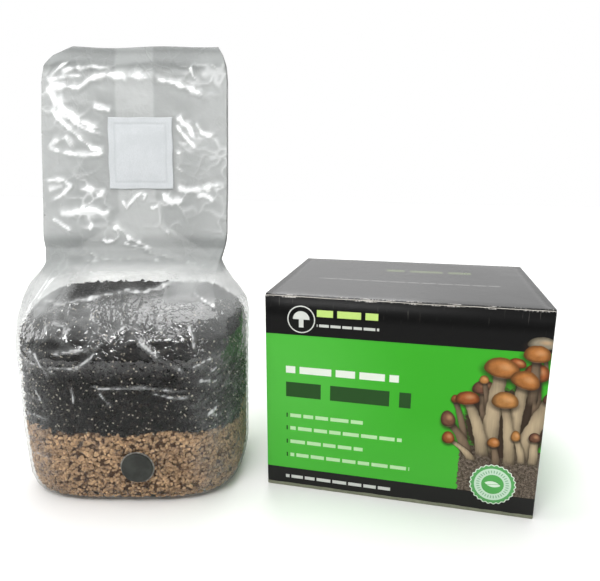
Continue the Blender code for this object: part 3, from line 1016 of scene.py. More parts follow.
def flat_outline(share, z):
    """The pleated flat outline at a height, in bag axes."""
    left, right, front = extent(z, 1), extent(z, 2), extent(z, 3)
    back = np.maximum(extent(z, 4), front + LEAST_DEPTH)
    middle = (front + back) / 2
    f, s = FRONT_SHARE, SIDE_SHARE
    stops = np.array([0, f, f + s / 2, f + s, 2 * f + s, 2 * f + 1.5 * s, 1.0])
    deep = smooth(z, 0.165, 0.235)
    right_fold = right + (RIGHT_PLEAT - right) * deep
    left_fold = left + (LEFT_PLEAT - left) * deep
    us = [left, right, right_fold, right, left, left_fold, left]
    vs = [front, front, middle, back, back, middle, front]
    u, v = np.zeros_like(share), np.zeros_like(share)
    for k in range(6):
        inside = (share >= stops[k]) & (share <= stops[k + 1])
        t = (share - stops[k]) / (stops[k + 1] - stops[k])
        u = np.where(inside, us[k] + (us[k + 1] - us[k]) * t, u)
        v = np.where(inside, vs[k] + (vs[k + 1] - vs[k]) * t, v)
    return u, v


shape = bmesh.new()
uv_layer = shape.loops.layers.uv.new("film")
ROWS_ALL = BASE_ROWS + SIDE_ROWS
bmesh.ops.create_grid(shape, x_segments=AROUND, y_segments=ROWS_ALL, size=0.5, calc_uvs=True)
shape.verts.ensure_lookup_table()
flat = np.array([vert.co[:] for vert in shape.verts])
# nearly half of the columns go to the front, where the creases have to be sharp
share = np.interp(
    flat[:, 0] + 0.5, [0, 0.46, 0.66, 0.82, 1],
    [0, FRONT_SHARE, FRONT_SHARE + SIDE_SHARE, 2 * FRONT_SHARE + SIDE_SHARE, 1]
)
row = np.round((flat[:, 1] + 0.5) * ROWS_ALL)
on_base = row < BASE_ROWS
base_share = np.clip(row / BASE_ROWS, 0, 1)
climb = np.clip((row - BASE_ROWS) / SIDE_ROWS, 0, 1)
z = climb * BAG_TOP
unit_u, unit_v = square_outline(share)
left, right, front, back = (extent(z, column) for column in (1, 2, 3, 4))
block_u = (left + right) / 2 + (right - left) / 2 * unit_u
block_v = (front + back) / 2 + (back - front) / 2 * unit_v
pleat_u, pleat_v = flat_outline(share, z)
w = smooth(z, FLAT_FROM, FLAT_TO)
u = block_u + (pleat_u - block_u) * w
v = block_v + (pleat_v - block_v) * w
u = np.where(on_base, (left + right) / 2 + (u - (left + right) / 2) * base_share, u)
v = np.where(on_base, (front + back) / 2 + (v - (front + back) / 2) * base_share, v)
print("film grid:", len(flat), "points")

# %% [markdown]
# ## Creases in the film
#
# Film shows its shape by its creases alone, so they get the most care. Three kinds are added to the
# smooth pouch, all pushed along the surface's outward direction: slow waves, a network of sharp folds
# that is strongest on the shoulders, and single long folds laid where this bag has them. Each point also
# keeps how sharply it is creased, and the material whitens it there.

# %% Crease field
def noise_at(points, scale, seed):
    """Smooth noise from -1 to 1 at each point."""
    offset = Vector((seed * 7.13, seed * 3.71, seed * 5.27))
    return np.array([noise.noise(Vector(p) * scale + offset) for p in points])


def fold_network(points, scale, seed, warp=0.35):
    """Near 1 along the walls between random cells, and 0 inside them."""
    result = np.zeros(len(points))
    offset = Vector((seed * 2.31, seed * 4.17, seed * 1.93))
    for i, p in enumerate(points):
        q = Vector(p) * scale + offset
        q += warp * noise.noise_vector(q * 1.7)
        near, _ = noise.voronoi(q)
        result[i] = near[1] - near[0]
    return np.exp(-(result / 0.13) ** 2)


def line_distance(u, z, line):
    """Distance from each (u, z) to a bent line, and how far along it the nearest point is."""
    best, along = np.full(len(u), 9.0), np.zeros(len(u))
    steps = len(line) - 1
    for k in range(steps):
        a, b = np.array(line[k]) * MM, np.array(line[k + 1]) * MM
        d = b - a
        t = np.clip(((u - a[0]) * d[0] + (z - a[1]) * d[1]) / (d @ d), 0, 1)
        gap = np.hypot(u - a[0] - t * d[0], z - a[1] - t * d[1])
        closer = gap < best
        best = np.where(closer, gap, best)
        along = np.where(closer, (k + t) / steps, along)
    return best, along


# front folds, all in mm: half width, height, then how white (0 to 1, partly a painted highlight), then u
# and z of each point
FRONT_FOLDS = (
    (1.6, 1.4, 0.9, -79.6, 159.3, -61.4, 161.1, -50.4, 159.5, -41.8, 161.5, -15.9, 165.8, -2.7, 167.6,
     14, 167.6, 25, 169.5, 32.1, 172.5, 51.5, 174.1, 73.6, 174.4),
    (1.2, 1.1, 0.9, -17.9, 105.8, -9.2, 102.4, 5.2, 103.3, 23.6, 104, 42.4, 101.1, 58.7, 99),
    (1.4, 1.2, 0.88, -6.3, 138.1, -0.2, 143.1, 8.9, 148.1),
    (1.6, 1.3, 0.88, 15.7, 142, 24.7, 135.1, 34.2, 127.3, 43.3, 122.7, 58, 112.1),
    (1.4, 1.2, 0.88, -48.9, 128.5, -37.6, 130.5, -25.1, 132.1, -13.6, 133.6, -6.3, 138.1),
    (1.3, 0.495, 0.88, -56, 118.8, -37.5, 117.8, -28, 118.4, -16, 126.7, -12.1, 133.6),
    (1.6, 1.2, 0.88, 94.7, 119.7, 92, 122.9, 85.6, 119.4, 76.5, 114.4, 67.8, 110.7),
    (1.4, 1, 0.61, 86, 86.8, 72.7, 86.9),
    (1.4, 1, 0.61, 92.3, 46.4, 84.3, 74.5, 67.3, 76.3),
    (1.3, 0.9, 0.61, 83.1, 102.7, 62.7, 107.5),
    (1.3, 0.9, 0.53, 92.8, 41.5, 82.6, 63, 74, 60.2),
    (1.3, 0.8, 0.53, 92.1, 17.7, 88.1, 42.9, 76.4, 46.5),
    (1.3, 0.45, 0.61, -78.4, 127.4, -67.1, 120.5, -52.5, 117.6, -42.9, 111.9),
    (1.3, 0.9, 0.53, -75, 95.4, -64.6, 91.3, -53.6, 89.7),
    (1.2, 0.8, 0.53, -82.5, 74.9, -66.4, 77.4, -53.7, 74.3),
    (1.2, 0.8, 0.44, -83.9, 54.4, -69.6, 56.4, -60.1, 52.4),
    (1.2, 0.8, 0.44, -84.7, 40.6, -67.5, 42.6, -54.2, 40.9),
    (1.3, 1.1, 0.6, -54.3, 140.5, -56.1, 146.4, -51.3, 149, -42.3, 147.5, -37.4, 143.4, -41.8, 138.6),
    (1.6, 1.2, 0.95, 53.8, 166.6, 64.7, 161.4, 73.3, 157.1, 80.6, 153.8),
    (1.5, 1.2, 0.95, 72, 174.5, 80.5, 162.1, 79.1, 154, 85.3, 140.7),
    (1.5, 1.2, 0.88, -73.6, 161.1, -71.3, 168.6, -67.8, 176.3),
    (1.5, 1, 0.7, -81.3, 146.4, -78.2, 155.7, -75.2, 165.9, -72.6, 177.4),
    (2, 0.8, 0.35, -54.7, 186.2, -29.8, 188.7, 1.4, 189.5, 36.3, 186.5),
    (1.8, 0.8, 0.35, -17.3, 198.4, 9.8, 194.4, 45.9, 186.4, 67.4, 181.7),
    (3.6, 1.6, 0.95, -33.5, 343.9, -20.8, 345.5, -11, 344.7, 4.5, 343, 16.6, 341.3),
    (2.2, 1.4, 0.9, 16.6, 341.3, 30.3, 338.9, 47.4, 333, 61.2, 327.2),
    (1.3, 1.1, 0.8, -75.3, 340.6, -62.7, 352.2, -50.3, 358.7, -36.4, 359.5),
    (1.5, 1.2, 0.8, -77.2, 339, -59.6, 343.1, -43.9, 343.9),
    (2.6, 1.2, 0.6, -66.5, 345.6, -50.6, 350.5, -33.2, 352.1, -19.5, 350.4),
    (2.6, 1.5, 0.9, -75.7, 334, -66.8, 335.7, -49.5, 334, -37.1, 342.3, -23.1, 347.2),
    (2.8, 1.5, 0.95, -77.2, 337.3, -70.8, 325.7, -62.5, 315.7, -47.2, 305.6, -26.6, 298.1),
    (1.5, 1.2, 0.9, -75.8, 330.7, -64.4, 312.4, -45.8, 300.6, -25.9, 293.9),
    (1.8, 1.3, 0.9, -74.7, 317.4, -66.3, 307.3, -52.9, 295.5, -39.4, 283.7, -26.3, 282),
    (2.2, 1.3, 0.8, -79.8, 285.4, -67.5, 280.3, -50, 277.8, -34.3, 277.8, -26.1, 283.7),
    (2.2, 1.2, 0.6, -77.9, 285.4, -70.7, 288.8, -61.8, 293, -53.4, 282),
    (2.2, 1.2, 0.8, -38, 319, -27.6, 317.3, -20.7, 314.8),
    (2.6, 1.4, 0.95, 33, 307.3, 38.3, 308.9, 46.8, 298.9, 53.6, 288.8),
    (1.2, 1, 0.7, 32.2, 305.6, 43.2, 292.1, 52.6, 282),
    (1.3, 1, 0.7, 51.2, 306.4, 57.2, 296.3, 62.3, 293.8, 69.4, 295.5),
    (1.2, 1, 0.7, 30.7, 281.2, 34.1, 280.3, 39.4, 278.6),
    (1, 0.9, 0.6, 30.4, 268.4, 35.6, 266.7, 42.6, 261.6),
    (2.6, 1.5, 0.95, 20.3, 247, 24.6, 241, 30.6, 237.6, 42.2, 238.5),
    (2, 1.4, 0.9, 30.9, 249.6, 42.3, 247.1, 53.8, 247.9, 67, 251.4, 78.4, 253.1),
    (1.4, 1.2, 0.9, 51, 241, 57.2, 244.5, 62.5, 241.9, 67.7, 236.8),
    (2.4, 1.2, 0.7, 59, 247.9, 68.7, 247.9, 77.5, 251.4),
    (1.2, 1.1, 0.95, -15.2, 240.2, -12.7, 236.7, -10.1, 232.4, -3.7, 240.2, 2.6, 245.3, 7, 243.6, 5.1,
     240.2, -0.2, 240.2),
    (1.1, 0.9, 0.7, 10.3, 233.3, 13.8, 232.4, 18.2, 235),
    (1.6, 1.3, 0.9, -82.8, 255.6, -73.9, 256.4, -65.1, 256.4, -59.1, 251.3, -63.6, 246.1, -80.2, 235.7),
    (2.4, 1.2, 0.6, -79.7, 247.8, -70.7, 249.6, -65.2, 251.3),
    (3.6, 1.5, 0.95, -72.4, 226.3, -64.5, 227.1, -55.5, 228.9, -44.9, 228.9, -36, 228),
    (2.2, 1.4, 0.9, -51.6, 235.8, -48.2, 230.6, -37.6, 230.6, -30.7, 228, -23.5, 231.5),
    (3, 1.2, 0.6, -53.1, 247.9, -42.3, 249.6, -35.4, 244.4, -26.5, 246.2),
    (1.6, 1.2, 0.8, -77.1, 223.6, -68.4, 218.4, -58.8, 211.5),
    (2, 1.1, 0.6, -44.9, 227.2, -41.6, 218.5, -43.7, 211.5),
    (1.5, 1.2, 0.95, -34.1, 206.3, -28.7, 202.8, -22.5, 203.7, -18, 208, -19.6, 213.3, -24.9, 214.1),
    (2.4, 1.4, 0.95, -24.9, 214.1, -18.6, 215.9, -13.4, 211.5, -8.2, 206.3, 0.5, 202, 15.9, 196.1),
    (1.6, 1.1, 0.7, -15.4, 202, -4.9, 199.3, 9.5, 196.8),
    (1.4, 1, 0.6, -43.5, 194.3, -37.7, 191.1, -30.5, 190.3),
    (1.2, 0.9, 0.5, 23.9, 213.3, 27.5, 209.9),
    (1.2, 0.9, 0.5, 47.8, 352, 50.3, 343.8, 56.2, 338.8),
    (1.2, 0.9, 0.88, -32.4, 104.5, -32, 96.3, -32, 88.6),
    (1.2, 0.9, 0.88, -11.6, 100.7, -7.2, 93.3, -1.6, 86.6),
    (1.2, 0.9, 0.88, -64.4, 99.1, -60.5, 93, -56, 86.9),
    (1.3, 1, 0.95, 92.6, 61, 83.2, 85, 65.7, 74.7),
    (1.2, 0.9, 0.95, 59.4, 117.6, 68.2, 121.2, 76.1, 124.5),
    (1.2, 0.9, 0.95, 53.6, 149.2, 59.9, 139.8, 62.9, 128.7),
    (1.3, 1, 0.95, 89, 151.6, 92.6, 144.6, 95.2, 132.7),
    (1.3, 0.36, 0.95, -73.5, 131.2, -62, 127.4, -49.8, 108.3),
    (1.2, 0.9, 0.88, 28, 100, 44.4, 94.5, 62.2, 94.4),
)
patch_points = np.array(
    [list(TO_BAG @ vert.co) for vert in frame["nodes"]["filter_patch"].data.vertices]
)
PATCH_U = (patch_points[:, 0].min(), patch_points[:, 0].max())
PATCH_Z = (patch_points[:, 2].min(), patch_points[:, 2].max())

# every ring's place on a fixed cylinder gives noise that doesn't tear at the seam
ring_radius = 0.11
turn = share * 2 * np.pi
sheet_place = np.stack([np.cos(turn) * ring_radius, np.sin(turn) * ring_radius, z], axis=1)
is_front = (share <= FRONT_SHARE) & ~on_base
block_out_u = np.sign(unit_u) * np.abs(unit_u) ** (ROUNDNESS - 1) / np.maximum((right - left) / 2, 1e-3)
block_out_v = np.sign(unit_v) * np.abs(unit_v) ** (ROUNDNESS - 1) / np.maximum((back - front) / 2, 1e-3)
length = np.hypot(block_out_u, block_out_v)
block_out_u, block_out_v = block_out_u / length, block_out_v / length
face_v = np.where(
    share <= FRONT_SHARE, -1.0,
    np.where((share > FRONT_SHARE + SIDE_SHARE) & (share <= 2 * FRONT_SHARE + SIDE_SHARE), 1.0, 0.25)
)
out_u = block_out_u * (1 - w)
out_v = block_out_v * (1 - w) + face_v * w

slow = noise_at(sheet_place, 26.0, 1.0) + 0.5 * noise_at(sheet_place, 60.0, 2.0)
network = fold_network(sheet_place * np.array([1.0, 1.0, 1.6]), 40.0, 3.0)
# low down, stretched film lies in slanting pulls that run from the corners to the middle
slanting = (
    sheet_place @ np.array([[1.0, 0.0, 0.0], [0.0, 1.0, 0.0], [0.0, 0.0, 3.2]])
    + sheet_place[:, :1] * [0, 0, 1.1]
)
pulls = fold_network(slanting, 44.0, 5.0, warp=0.5)
gate = smooth(noise_at(sheet_place, 18.0, 6.0), -0.15, 0.35)
middle_u = (left + right) / 2
to_corner = smooth(np.abs(u - middle_u) / np.maximum((right - left) / 2, 1e-3), 0.45, 0.85)
shoulder = smooth(z, 0.118, 0.142) * (1 - smooth(z, 0.185, 0.215))
low_zone = 1 - smooth(z, 0.118, 0.142)
upper = smooth(z, 0.19, 0.22)
push = slow * (0.00030 * low_zone + 0.0008 * shoulder + 0.0012 * upper)
push += network * gate * (0.0006 * shoulder + 0.0008 * upper)
push += pulls * low_zone * (0.00015 + 0.0005 * to_corner)
# how white the film turns at each point: partly film whitened by creasing, partly a painted highlight
crease_and_highlight = network * gate * (0.22 * shoulder + 0.34 * upper)
crease_and_highlight += pulls * low_zone * (0.015 + 0.26 * to_corner)
wobble = noise_at(sheet_place, 130.0, 8.0)
broken = 0.55 + 0.60 * smooth(
    noise_at(sheet_place, 210.0, 9.0) + 0.5 * noise_at(sheet_place, 70.0, 10.0), -0.35, 0.45
)
for half_width, height, white, *points in FRONT_FOLDS:
    gap, along = line_distance(u, z, list(zip(points[::2], points[1::2])))
    half = half_width * MM
    gap = np.abs(gap + 0.9 * half * wobble)
    ends = smooth(along, 0.0, 0.15) * (1 - smooth(along, 0.80, 1.0))
    hump = np.exp(-(gap / half) ** 2) * (0.25 + 0.75 * ends) * is_front
    side_dip = np.exp(-((gap - 2.2 * half) / (1.2 * half)) ** 2) * ends * is_front
    push += (hump * height - 0.30 * side_dip * height) * MM
    # the whitening along each fold is partly a painted highlight
    crease_and_highlight += 0.9 * white * broken * np.exp(-(gap / max(0.6 * half, 0.0009)) ** 2) * ends * is_front
    crease_and_highlight += 0.16 * white * np.exp(-(gap / (2.6 * half)) ** 2) * ends * is_front * upper
# the film is welded flat round the patch, and the seal at the top lies nearly flat
patch_gap = np.maximum(
    np.maximum(PATCH_U[0] - u, u - PATCH_U[1]), np.maximum(PATCH_Z[0] - z, z - PATCH_Z[1])
)
flat_at_patch = np.where(is_front, smooth(patch_gap, 0.0, 0.006), 1.0)
push *= flat_at_patch
crease_and_highlight *= flat_at_patch
seal = smooth(z, BAG_TOP - 0.016, BAG_TOP - 0.012)
push *= 1 - 0.8 * seal
crease_and_highlight *= 1 - 0.85 * seal
foot = smooth(z, 0.0, 0.012)
push = np.clip(push, -0.0009, 0.0024) * foot
u, v = u + out_u * push, v + out_v * push
# the top edge sags between its corners, and the last row closes the seal
top_wave = smooth(z, 0.30, BAG_TOP) * (0.0007 * np.sin(u * 75.0) - 0.0004 * np.cos(u * 31.0))
z_final = np.where(on_base, 0.0004 + 0.0006 * (1 - base_share), z + top_wave)
closing = smooth(z, BAG_TOP - 0.015, BAG_TOP - 0.004)
middle_v = (front + np.maximum(back, front + LEAST_DEPTH)) / 2
v = v + (middle_v - v) * closing * 0.90
v = np.where(row == ROWS_ALL, middle_v, v)
print("creases: strongest", round(float(crease_and_highlight.max()), 2), "push", push.min(), push.max())

# %% Film object
crease_and_highlight_layer = shape.verts.layers.float.new("crease_and_highlight")
cloud_and_shade_layer = shape.verts.layers.float.new("cloud_and_shade")
dull_and_shaded_layer = shape.verts.layers.float.new("dull_and_shaded")
clear_strip = 1 - smooth(np.abs(u + 0.004), 0.045, 0.070)
fold_height = np.interp(
    u, [-0.0796, -0.0504, -0.0159, 0.014, 0.0321, 0.0736],
    [0.1593, 0.1595, 0.1658, 0.1676, 0.1725, 0.1744]
)
over_heap = smooth(z, 0.138, 0.152) * (1 - clear_strip * smooth(z - fold_height, -0.001, 0.002) * 0.85)
between_pleats = (
    smooth(u, LEFT_PLEAT - 0.002, LEFT_PLEAT + 0.001)
    * (1 - smooth(u, RIGHT_PLEAT - 0.001, RIGHT_PLEAT + 0.002))
)
# the milky amount: real haze from film layers and creases, and above the heap also a painted grey,
# painted shade for darker surroundings seen in and through the film
cloud_and_shade = 0.002 + 0.065 * to_corner + 0.13 * over_heap + 0.62 * smooth(z, 0.174, 0.184)
# beyond the heap's crown two film layers lie together: to the right of it and at its left corner
beside_crown = smooth(u, 0.018, 0.046) * (1 - smooth(u, 0.050, 0.074))
beside_crown = np.maximum(
    beside_crown, smooth(u, -0.080, -0.066) * (1 - smooth(u, -0.062, -0.044))
) * is_front
cloud_and_shade += 0.38 * beside_crown * smooth(z, 0.146, 0.172) * (1 - smooth(z, 0.174, 0.184))
right_wall = smooth(u, 0.058, 0.070) * (1 - smooth(z, 0.150, 0.170))
cloud_and_shade += 0.09 * right_wall
cloud_and_shade += (
    0.16 * smooth(np.abs(u), 0.055, 0.074) * smooth(z, 0.148, 0.162) * (1 - smooth(z, 0.176, 0.186))
)
cloud_and_shade += 0.22 * between_pleats * smooth(z, 0.225, 0.240)
# where the film is less glossy: the kink above the heap, the seal and the right wall. There its milky
# layer is also painted darker, as painted shade.
dull_and_shaded = (
    smooth(z, 0.172, 0.180) * (1 - smooth(z, 0.203, 0.212))
    + smooth(z, BAG_TOP - 0.024, BAG_TOP - 0.016)
)
dull_and_shaded += 0.95 * right_wall
for index, vert in enumerate(shape.verts):
    vert.co = FROM_BAG @ Vector((u[index], v[index], max(0.0002, z_final[index])))
    vert[crease_and_highlight_layer] = float(min(1.0, crease_and_highlight[index]))
    vert[cloud_and_shade_layer] = float(cloud_and_shade[index])
    vert[dull_and_shaded_layer] = float(min(1.0, dull_and_shaded[index]))
for face in shape.faces:
    for loop in face.loops:
        loop[uv_layer].uv = Vector((loop[uv_layer].uv.x * 0.70, loop[uv_layer].uv.y * 0.42))
bmesh.ops.remove_doubles(shape, verts=shape.verts, dist=0.00004)
bmesh.ops.recalc_face_normals(shape, faces=shape.faces)
print("film:", len(shape.faces), "faces, volume", round(shape.calc_volume() * 1e6), "ml")

# %% [markdown]
# ## Clear film as a material
#
# Film is three things at once. It mirrors like glass, more so at a slant. Where it is smooth it
# lets light straight through. Where it is creased or cloudy it scatters some light, grey-white.
# So the shader is a mix: a gloss on top, and below it clear film or a thin milky layer, chosen by the
# crease and cloud values kept on each point. The milky layer's colour carries painted light: its grey is
# painted shade for darker surroundings seen in the film, it is painted darker still in the less glossy
# zones, and it turns near white along creases, partly a painted highlight. Fine creases too small for
# the mesh are bumps.

# %% Film material
film_material = new_material("clear_film_creased")
tree = film_material.node_tree
crease_and_highlight_value = attribute(tree, "crease_and_highlight")
cloud_and_shade_value = attribute(tree, "cloud_and_shade")
place = object_place(tree)
bent = vector_node(
    "ADD", place,
    vector_node("MULTIPLY", noise_node(place, 34.0, detail=2.0, output="Color"), (0.018, 0.018, 0.018))
)
slanted = vector_node("MULTIPLY", bent, (1.0, 1.0, 0.62))
wide_cells = cell_walls(slanted, 62.0)
fine_cells = cell_walls(bent, 170.0)
wide_lines = fade(wide_cells, 0.0, 0.075, 1.0, 0.0)
fine_lines = fade(fine_cells, 0.0, 0.10, 1.0, 0.0)
heights = parts_of(place)
cling_zone = fade(heights[2], 0.150, 0.172, 1.0, 0.0)
cling = times(noise_node(place, 140.0, detail=2.0, roughness=0.5), cling_zone)
stretch = noise_node(vector_node("MULTIPLY", bent, (60.0, 60.0, 420.0)), 1.0, detail=3.0, roughness=0.6)
patchy = fade(noise_node(place, 24.0, detail=2.0), 0.46, 0.62)
lines = times(plus(times(wide_lines, 0.7), times(fine_lines, 0.35)), patchy)
height = plus(times(lines, 0.6), times(stretch, 0.15))
height = plus(height, times(noise_node(place, 85.0, detail=3.0), 1.8))
height = plus(height, times(cling, 1.9))
normal = bump_node(height, 0.75, 0.0007)
facing = add_node(tree, "ShaderNodeLayerWeight")
facing.inputs["Blend"].default_value = 0.35
milk = plus(cloud_and_shade_value, times(crease_and_highlight_value, 0.60))
milk = plus(milk, times(lines, 0.05))
milk = plus(milk, times(facing.outputs["Facing"], 0.16), clamp=True)
# painted shade: the milky layer is painted darker in the kink above the heap, along the seal and on the
# right wall
dull_and_shaded_value = attribute(tree, "dull_and_shaded")
# painted shade: the milky layer's grey stands in for darker surroundings seen in and through the film
milk_tone_with_painted_light = colour_mix(dull_and_shaded_value, (0.53, 0.545, 0.54), (0.33, 0.345, 0.34))
# painted highlight: along the creases the milky layer turns near white, partly film whitened by creasing
milk_tone_with_painted_light = colour_mix(fade(crease_and_highlight_value, 0.12, 0.75), milk_tone_with_painted_light, (0.95, 0.96, 0.96))
milky = principled(tree, Base_Color=milk_tone_with_painted_light, Roughness=0.5, Normal=normal)
clear = add_node(tree, "ShaderNodeBsdfTransparent")
feed(clear.inputs["Color"], (0.97, 0.975, 0.97))
mirror = add_node(tree, "ShaderNodeBsdfGlossy")
feed(mirror.inputs["Color"], (1.0, 1.0, 1.0))
mirror.inputs["Roughness"].default_value = 0.07
feed(mirror.inputs["Normal"], normal)
fresnel = add_node(tree, "ShaderNodeFresnel")
fresnel.inputs["IOR"].default_value = 1.56
feed(fresnel.inputs["Normal"], normal)
# where the film turns over the heap it is drawn tight, and there it shines most
tight = times(fade(heights[2], 0.108, 0.126), fade(heights[2], 0.156, 0.168, 1.0, 0.0))
shine = plus(fade(dull_and_shaded_value, 0.0, 1.0, 0.26, 0.0), times(tight, 1.15))
gloss_share = least(times(fresnel.outputs[0], shine), fade(heights[2], 0.100, 0.118, 0.09, 0.15))
film_body = mix_shaders(milk, clear.outputs[0], milky)
finish_material(mix_shaders(gloss_share, film_body, mirror.outputs[0]))
piece_from(shape, "bag_film_pouch", [film_material], "kit", nodes=["bag_film"])
print("film material:", len(tree.nodes), "nodes")

# %% [markdown]
# ## What fills the bag: a body with loose grains on it
#
# A heap is made in two parts. A closed lumpy body gives the mass and its dark depths. Thousands
# of separate grains lie on it, half sunk. Each grain is a ball of twenty faces, stretched and
# turned at random, and it keeps one random number that the material turns into its own tone.

# %% Filling helpers
rng = np.random.default_rng(41)
FILM_ROOM = 0.0015
GRAIN_FOOT = level_table("grain")[0, 0]
crown = level_table("substrate")
crown = crown[crown[:, 0] > 0.122]
low_walls = FILM_TABLE[FILM_TABLE[:, 0] < 0.120] + np.array(
    [0.0, FILM_ROOM, -FILM_ROOM, FILM_ROOM, -FILM_ROOM]
)
FILL_TABLE = np.vstack([low_walls, crown])
HEAP_TOP = FILL_TABLE[-1, 0] - 0.0070


def layer_line(share):
    """How high the grain reaches round the bag: highest near the front's left."""
    around = np.asarray(share) * 2 * np.pi
    return (
        0.0612 + 0.0022 * np.cos(around - 0.15) + 0.0012 * np.sin(around * 5 + 1.0)
        + 0.0012 * np.sin(around * 11)
    )


def wall_point(table, share, z, inset):
    """A place on the filling's outline at a height, in bag axes, moved inwards by inset."""
    unit_u, unit_v = square_outline(np.asarray(share, float))
    left, right, front, back = (np.interp(z, table[:, 0], table[:, column]) for column in (1, 2, 3, 4))
    u = (left + right) / 2 + ((right - left) / 2 - inset) * unit_u
    v = (front + back) / 2 + ((back - front) / 2 - inset) * unit_v
    return u, v


def filled_body(table, foot_of, top_of, inset, lump, seed):
    """A closed lumpy body, its rows run from the base's middle, up the wall, to the top's middle."""
    around, base, tall, cap = 130, 6, 34, 8
    rows = base + tall + cap
    shape = bmesh.new()
    shape.verts.layers.float.new("tone")  # 0 on the body; each loose grain brings its own
    bmesh.ops.create_grid(shape, x_segments=around, y_segments=rows, size=0.5)
    shape.verts.ensure_lookup_table()
    flat = np.array([vert.co[:] for vert in shape.verts])
    share = flat[:, 0] + 0.5
    row = np.round((flat[:, 1] + 0.5) * rows)
    climb = np.clip((row - base) / tall, 0, 1)
    foot, top = foot_of(share), top_of(share)
    z = foot + (top - foot) * climb
    spread = np.where(row < base, row / base, np.where(row > base + tall, (rows - row) / cap, 1.0))
    u, v = wall_point(table, share, z, inset)
    left, right, front, back = (np.interp(z, table[:, 0], table[:, column]) for column in (1, 2, 3, 4))
    centre_u, centre_v = (left + right) / 2, (front + back) / 2
    u, v = centre_u + (u - centre_u) * spread, centre_v + (v - centre_v) * spread
    bumps = noise_at(np.stack([u, v, z], axis=1), 160.0, seed) * lump
    shrink = 1 + bumps / 0.09 - lump / 0.09
    u, v = centre_u + (u - centre_u) * shrink, centre_v + (v - centre_v) * shrink
    z = z + np.where(row > base + tall, bumps - lump, 0)
    for index, vert in enumerate(shape.verts):
        vert.co = FROM_BAG @ Vector((u[index], v[index], z[index]))
    bmesh.ops.remove_doubles(shape, verts=shape.verts, dist=0.00004)
    bmesh.ops.recalc_face_normals(shape, faces=shape.faces)
    return shape


def scatter(shape, places, outwards, sizes, stretch, tones):
    """Add one small ball for each place: sizes are half lengths, stretch is (long, wide, flat)."""
    count = len(places)
    balls = bmesh.new()
    balls.verts.layers.float.new("tone")
    bmesh.ops.create_icosphere(balls, subdivisions=1, radius=1.0)
    corners = len(balls.verts)
    while len(balls.verts) < count * corners:
        bmesh.ops.duplicate(balls, geom=balls.verts[:] + balls.edges[:] + balls.faces[:])
    balls.verts.ensure_lookup_table()
    bmesh.ops.delete(balls, geom=balls.verts[count * corners:], context="VERTS")
    mesh = bpy.data.meshes.new("balls")
    balls.to_mesh(mesh)
    balls.free()
    coordinates = np.empty(count * corners * 3)
    mesh.vertices.foreach_get("co", coordinates)
    coordinates = coordinates.reshape(count, corners, 3)
    # each ball's own axes: outwards, and two more turned round it at random
    out = outwards / np.linalg.norm(outwards, axis=1, keepdims=True)
    out = out + rng.normal(0, 0.22, out.shape)
    out /= np.linalg.norm(out, axis=1, keepdims=True)
    side = np.cross(out, rng.normal(0, 1, out.shape))
    side /= np.linalg.norm(side, axis=1, keepdims=True)
    other = np.cross(out, side)
    lengths = np.asarray(sizes)[:, None] * np.array(stretch)[None, :]
    lengths[:, 2] *= rng.uniform(0.8, 1.2, count)
    axes = np.stack([side * lengths[:, :1], other * lengths[:, 1:2], out * lengths[:, 2:3]], axis=1)
    in_bag = np.einsum("nij,njk->nik", coordinates, axes) + places[:, None, :]
    turn = np.array(FROM_BAG.to_3x3())
    world = in_bag @ turn.T + np.array(FROM_BAG.translation)
    world[:, :, 2] = np.maximum(world[:, :, 2], 0.0006)
    mesh.vertices.foreach_set("co", world.ravel())
    mesh.attributes["tone"].data.foreach_set(
        "value", np.repeat(np.asarray(tones, dtype=float), corners)
    )
    shape.from_mesh(mesh)
    bpy.data.meshes.remove(mesh)


def wall_scatter(table, count, low_of, high_of, inset, jitter):
    """Random places on the filling's wall with their outward directions, in bag axes."""
    share = rng.uniform(0, 1, count)
    low, high = low_of(share), high_of(share)
    z = low + (high - low) * rng.uniform(0, 1, count)
    u, v = wall_point(table, share, z, inset + np.abs(rng.normal(0, jitter, count)))
    unit_u, unit_v = square_outline(share)
    out_u, out_v = np.sign(unit_u) * np.abs(unit_u) ** 2.4, np.sign(unit_v) * np.abs(unit_v) ** 2.4
    slope = np.interp(z, [0.0, 0.012, 0.03, 0.12, 0.145, 0.17], [-0.9, -0.4, 0.0, 0.0, 1.0, 1.6])
    return np.stack([u, v, z], axis=1), np.stack([out_u, out_v, slope], axis=1)


print("grain layer line", round(float(layer_line(0.0)), 4), "heap top", round(float(HEAP_TOP), 4))

# %% Filling materials
def tone_material(name, deep, pale, scale, rough, bump, speck=None):
    """A matt natural finish: each grain's own tone, a fine mottle, and darker wet patches."""
    material = new_material(name)
    tree = material.node_tree
    own = attribute(tree, "tone")
    place = object_place(tree)
    mottle = noise_node(place, scale, detail=4.0, roughness=0.65)
    wet = noise_node(place, 45.0, detail=2.0)
    amount = plus(times(own, 0.9), times(minus(mottle, 0.4), 0.4), clamp=True)
    tone = colour_mix(amount, deep, pale)
    if speck:
        tone = colour_mix(fade(own, 0.86, 1.0), tone, speck)
    tone = colour_mix(fade(wet, 0.35, 0.65, 0.35, 0.0), tone, deep)
    gloss = fade(mottle, 0.25, 0.75, rough - 0.12, rough + 0.1)
    finish_material(
        principled(
            tree, Base_Color=tone, Roughness=gloss, Specular_IOR_Level=0.08,
            Normal=bump_node(mottle, bump, 0.0004)
        )
    )
    return material


grain_material = tone_material(
    "soaked_grain", (0.11, 0.052, 0.024), (0.88, 0.58, 0.33), 900.0, 0.55, 0.5
)
substrate_material = tone_material(
    "dark_substrate", (0.0012, 0.0010, 0.0008), (0.036, 0.028, 0.021), 700.0, 0.7, 0.7,
    speck=(0.60, 0.54, 0.44)
)
print("filling materials ready")

